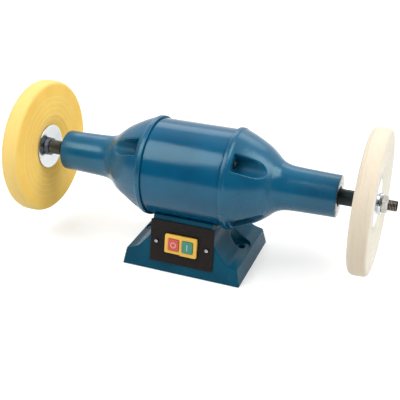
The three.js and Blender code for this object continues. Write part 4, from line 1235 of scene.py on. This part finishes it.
def placeScrews():
    s, panel = fixingSettings, panelSettings
    plain = {kind: screwMesh(kind) for kind in screwSettings}
    down = Matrix.Rotation(pi, 4, "X")

    def place(kind, matrix, node, name, finish="zincPlate", slot="zinc"):
        mesh = plain[kind].copy()
        mesh.transform(matrix)
        addPiece(name, mesh, finish, "machine_frame", [node])
        return mesh

    for end, side in ends.items():
        x = panel["plate"]["place"][0] + side * panel["screws"]["spread"]
        spot = frontPanel @ at(x, panel["screws"]["y"], s["plateDepth"])
        mesh = place("plate_screw", spot @ Matrix.Rotation(s["plateTurn"] * side, 4, "Z"),
                     "plate_screw_" + end, "plate_screw_detail_" + end, ["zincBolt", "blackPlate"])
        # beyond this radius a screw head takes the plate's black, a painted shadow ring round its zinc
        # middle
        for face, source in zip(mesh.polygons, plain["plate_screw"].polygons):
            face.material_index = 1 if source.center.xy.length / mm > s["plateShadowRadius"] else 0
        spot = at(side * s["saddlePlace"][0], 0, s["saddlePlace"][1])
        place("saddle_bolt", spot @ down, "saddle_bolt_" + end, "saddle_bolt_detail_" + end)
        for row, depth in (("front", -1), ("rear", 1)):
            postX, postY = baseSettings["postPlace"]
            spot = at(side * postX, depth * postY, s["coverDepth"])
            node = "cover_screw_" + row + "_" + end
            place("cover_screw", spot @ down, node, node + "_detail")
    nutOuter, nutSeat = (-x for x in turnedNode("tie_nut_1")[:2])
    nut = nutSettings
    for i in range(4):
        stand = shaftLine @ Matrix.Rotation((i + 0.5) * pi / 2, 4, "X")
        spot = stand @ at(nutSeat, 0, bellSettings["boltCircle"]) @ Matrix.Rotation(pi / 2, 4, "Y")
        node = "tie_bolt_" + str(i + 1)
        place("tie_bolt", spot @ Matrix.Rotation(s["tieTurn"] * i, 4, "Z"), node, node + "_detail",
              "blackSteel", "black_steel")
        spot = stand @ Matrix.Translation((0, 0, bellSettings["boltCircle"] * mm))
        mesh = hexNut(nutSeat, nutOuter, nut["tieApothem"], nut["tieBore"], nut["tieFacets"], -1, spot)
        node = "tie_nut_" + str(i + 1)
        addPiece(node + "_detail", mesh, "blackSteel", "machine_frame", [node], 25)


placeScrews()
print("switch panel and screws made")

glandSettings = {
    "facets": 96,
    "hexRadius": 12.0,
    "hexLength": 6.0,
    "hexEdge": 0.4,
    "gap": 0.3,
    "inner": 14.0,
    "thread": 8.0,
    "threadPitch": 1.5,
    "threadDepth": 0.35,
    "threadStep": 0.25,
    "tip": (0.5, 0.6),  # along, in
    "ribbed": [(0.4, 10.0), (7.44, 10.0)],
    "grips": 16,
    "gripDepth": 0.5,
    "dome": [(9.0, 9.3), (10.8, 8.1), (12.0, 7.0), (12.0, 4.9), (11.6, 4.5), (9.5, 4.5), (9.5, 0)],
}


# a moulded gland: thread through the wall, hexagon outside it, and a ribbed dome closed by its seal
def cableGland():
    s = glandSettings
    angles = evenAngles(s["facets"])
    hexagon = hexagonRadius(angles, s["hexRadius"] * cos(pi / 6))
    start, edge, inner = s["gap"], s["hexEdge"], -s["inner"]
    outside = start + s["hexLength"]
    grip = s["gripDepth"] * (np.cos(s["grips"] * angles) > 0)
    rows = [(inner, 0), (inner, s["thread"] - s["tip"][1])]
    for x in np.arange(inner + s["tip"][0], start - 0.1, s["threadStep"]):
        wave = 0.5 + 0.5 * np.cos(2 * pi * (x / s["threadPitch"] - angles / (2 * pi)))
        rows.append((x, s["thread"] - s["threadDepth"] * wave))
    rows += [(start, s["thread"]), (start, hexagon - edge), (start + edge, hexagon),
             (outside - edge, hexagon), (outside, hexagon - 0.5), (outside, s["ribbed"][0][1] - 0.5)]
    rows += [(outside + x, r - grip) for x, r in s["ribbed"]]
    rows += [(outside + x, r) for x, r in s["dome"]]
    mesh = upright(rows, *baseSettings["glandPlace"], s["facets"], backPanel)
    addPiece("cable_gland_detail", mesh, "blackPlastic", "machine_frame",
             ["cable_gland"], 30)


cableGland()

# the hidden pieces keep the frame's own shapes and only get their finishes
plainNodes = {
    "zincPlate": ["bottom_cover", "capacitor_clamp", "preload_washer_left", "preload_washer_right",
                  "ball_cage_left", "ball_cage_right"],
    "greyPlastic": ["capacitor", "terminal_block"],
    "sheetStack": ["stator_core", "rotor_core"],
    "copperWire": ["winding_left", "winding_right"],
    "polishedSteel": ["bearing_outer_left", "bearing_outer_right", "bearing_inner_left",
                      "bearing_inner_right"],
    "rubber": ["dust_seal_left", "dust_seal_right"],
    "blackPlastic": ["switch_body", "gland_locknut"],
}
for finish, names in plainNodes.items():
    for name in names:
        mesh = nodes[name].data
        mesh.materials.clear()
        mesh.materials.append(finishes[finish])
print("hidden pieces finished")

# each ramp runs from one value to another and gives the strengths at its two ends
studioSettings = {
    "floor": {"colour": (220, 219, 217), "roughness": 0.9, "reach": 12, "drop": 0.4 * mm},
    "white": (1, 1, 1, 1),
    "sky": (0.97, 0.985, 1, 1),
    "floorGlow": (0.5, 1.6, 0.38, 0.56),
    "skyRise": (0.0, 1.0, 0.27, 0.95),
    "darkSide": (-0.2, 0.35, 0.06, 1.0),
    "aim": (0, 0, 0.12),
    "lamps": {
        "key": {"place": (-0.95, -1.05, 1.9), "size": (1.1, 1.5), "power": 27},
        "fill": {"place": (2.4, 0.3, 2.5), "size": (2.2, 2.2), "power": 72},
        "back": {"place": (-0.4, 2.1, 1.95), "size": (3.0, 1.0), "power": 18},
    },
}


# shows one shader to the eye and in reflections, and lets the other give the light
def showTo(owner, lighting, seen, output):
    rays = addNode(owner, "LightPath").outputs
    choose = addNode(owner, "MixShader")
    direct = combine(owner, "MAXIMUM", rays["Is Camera Ray"], rays["Is Glossy Ray"])
    join(owner, direct, choose.inputs[0])
    join(owner, lighting.outputs[0], choose.inputs[1])
    join(owner, seen.outputs[0], choose.inputs[2])
    join(owner, choose.outputs[0], owner.node_tree.nodes[output].inputs["Surface"])


def studioFloor():
    s = studioSettings
    mesh = bpy.data.meshes.new("floor")
    reach = s["floor"]["reach"]
    mesh.from_pydata([(x, y, 0) for x, y in rectangle(-reach, reach, -reach, reach)], [], [(0, 1, 2, 3)])
    floor = bpy.data.objects.new("floor", mesh)
    bpy.context.collection.objects.link(floor)
    floor.location.z = -s["floor"]["drop"]
    material = startMaterial("paleFloor", s["floor"]["colour"], s["floor"]["roughness"])
    away = addNode(material, "VectorMath")
    away.operation = "LENGTH"
    join(material, addNode(material, "TexCoord").outputs["Object"], away.inputs[0])
    glow, both = addNode(material, "Emission", Color=s["white"]), addNode(material, "AddShader")
    join(material, ranged(material, away.outputs["Value"], *s["floorGlow"]), glow.inputs["Strength"])
    shader = material.node_tree.nodes["Principled BSDF"]
    join(material, shader.outputs[0], both.inputs[0])
    join(material, glow.outputs[0], both.inputs[1])
    showTo(material, shader, both, "Material Output")
    mesh.materials.append(material)


# the background is white to the eye, in reflections white behind and dark in front, and lights from above
def studioWorld():
    s = studioSettings
    world = bpy.data.worlds.new("studio")
    bpy.context.scene.world = world
    world.use_nodes = True
    soft = world.node_tree.nodes["Background"]
    soft.inputs["Color"].default_value = s["sky"]
    white, parts = addNode(world, "Background", Color=s["white"]), addNode(world, "SeparateXYZ")
    join(world, addNode(world, "TexCoord").outputs["Generated"], parts.inputs[0])
    join(world, ranged(world, parts.outputs["Z"], *s["skyRise"]), soft.inputs["Strength"])
    side = ranged(world, parts.outputs["Y"], *s["darkSide"])
    eye = addNode(world, "LightPath").outputs["Is Camera Ray"]
    join(world, combine(world, "MAXIMUM", eye, side), white.inputs["Strength"])
    showTo(world, soft, white, "World Output")


def lamp(name):
    s = studioSettings["lamps"][name]
    data = bpy.data.lights.new(name, "AREA")
    data.shape = "RECTANGLE"
    data.size, data.size_y = s["size"]
    data.energy = s["power"]
    light = bpy.data.objects.new(name, data)
    bpy.context.collection.objects.link(light)
    light.location = s["place"]
    aim = Vector(studioSettings["aim"]) - light.location
    light.rotation_euler = aim.to_track_quat("-Z", "Y").to_euler()


studioFloor()
studioWorld()
for name in studioSettings["lamps"]:
    lamp(name)
bpy.context.scene.view_settings.view_transform = "Standard"
print("studio ready")
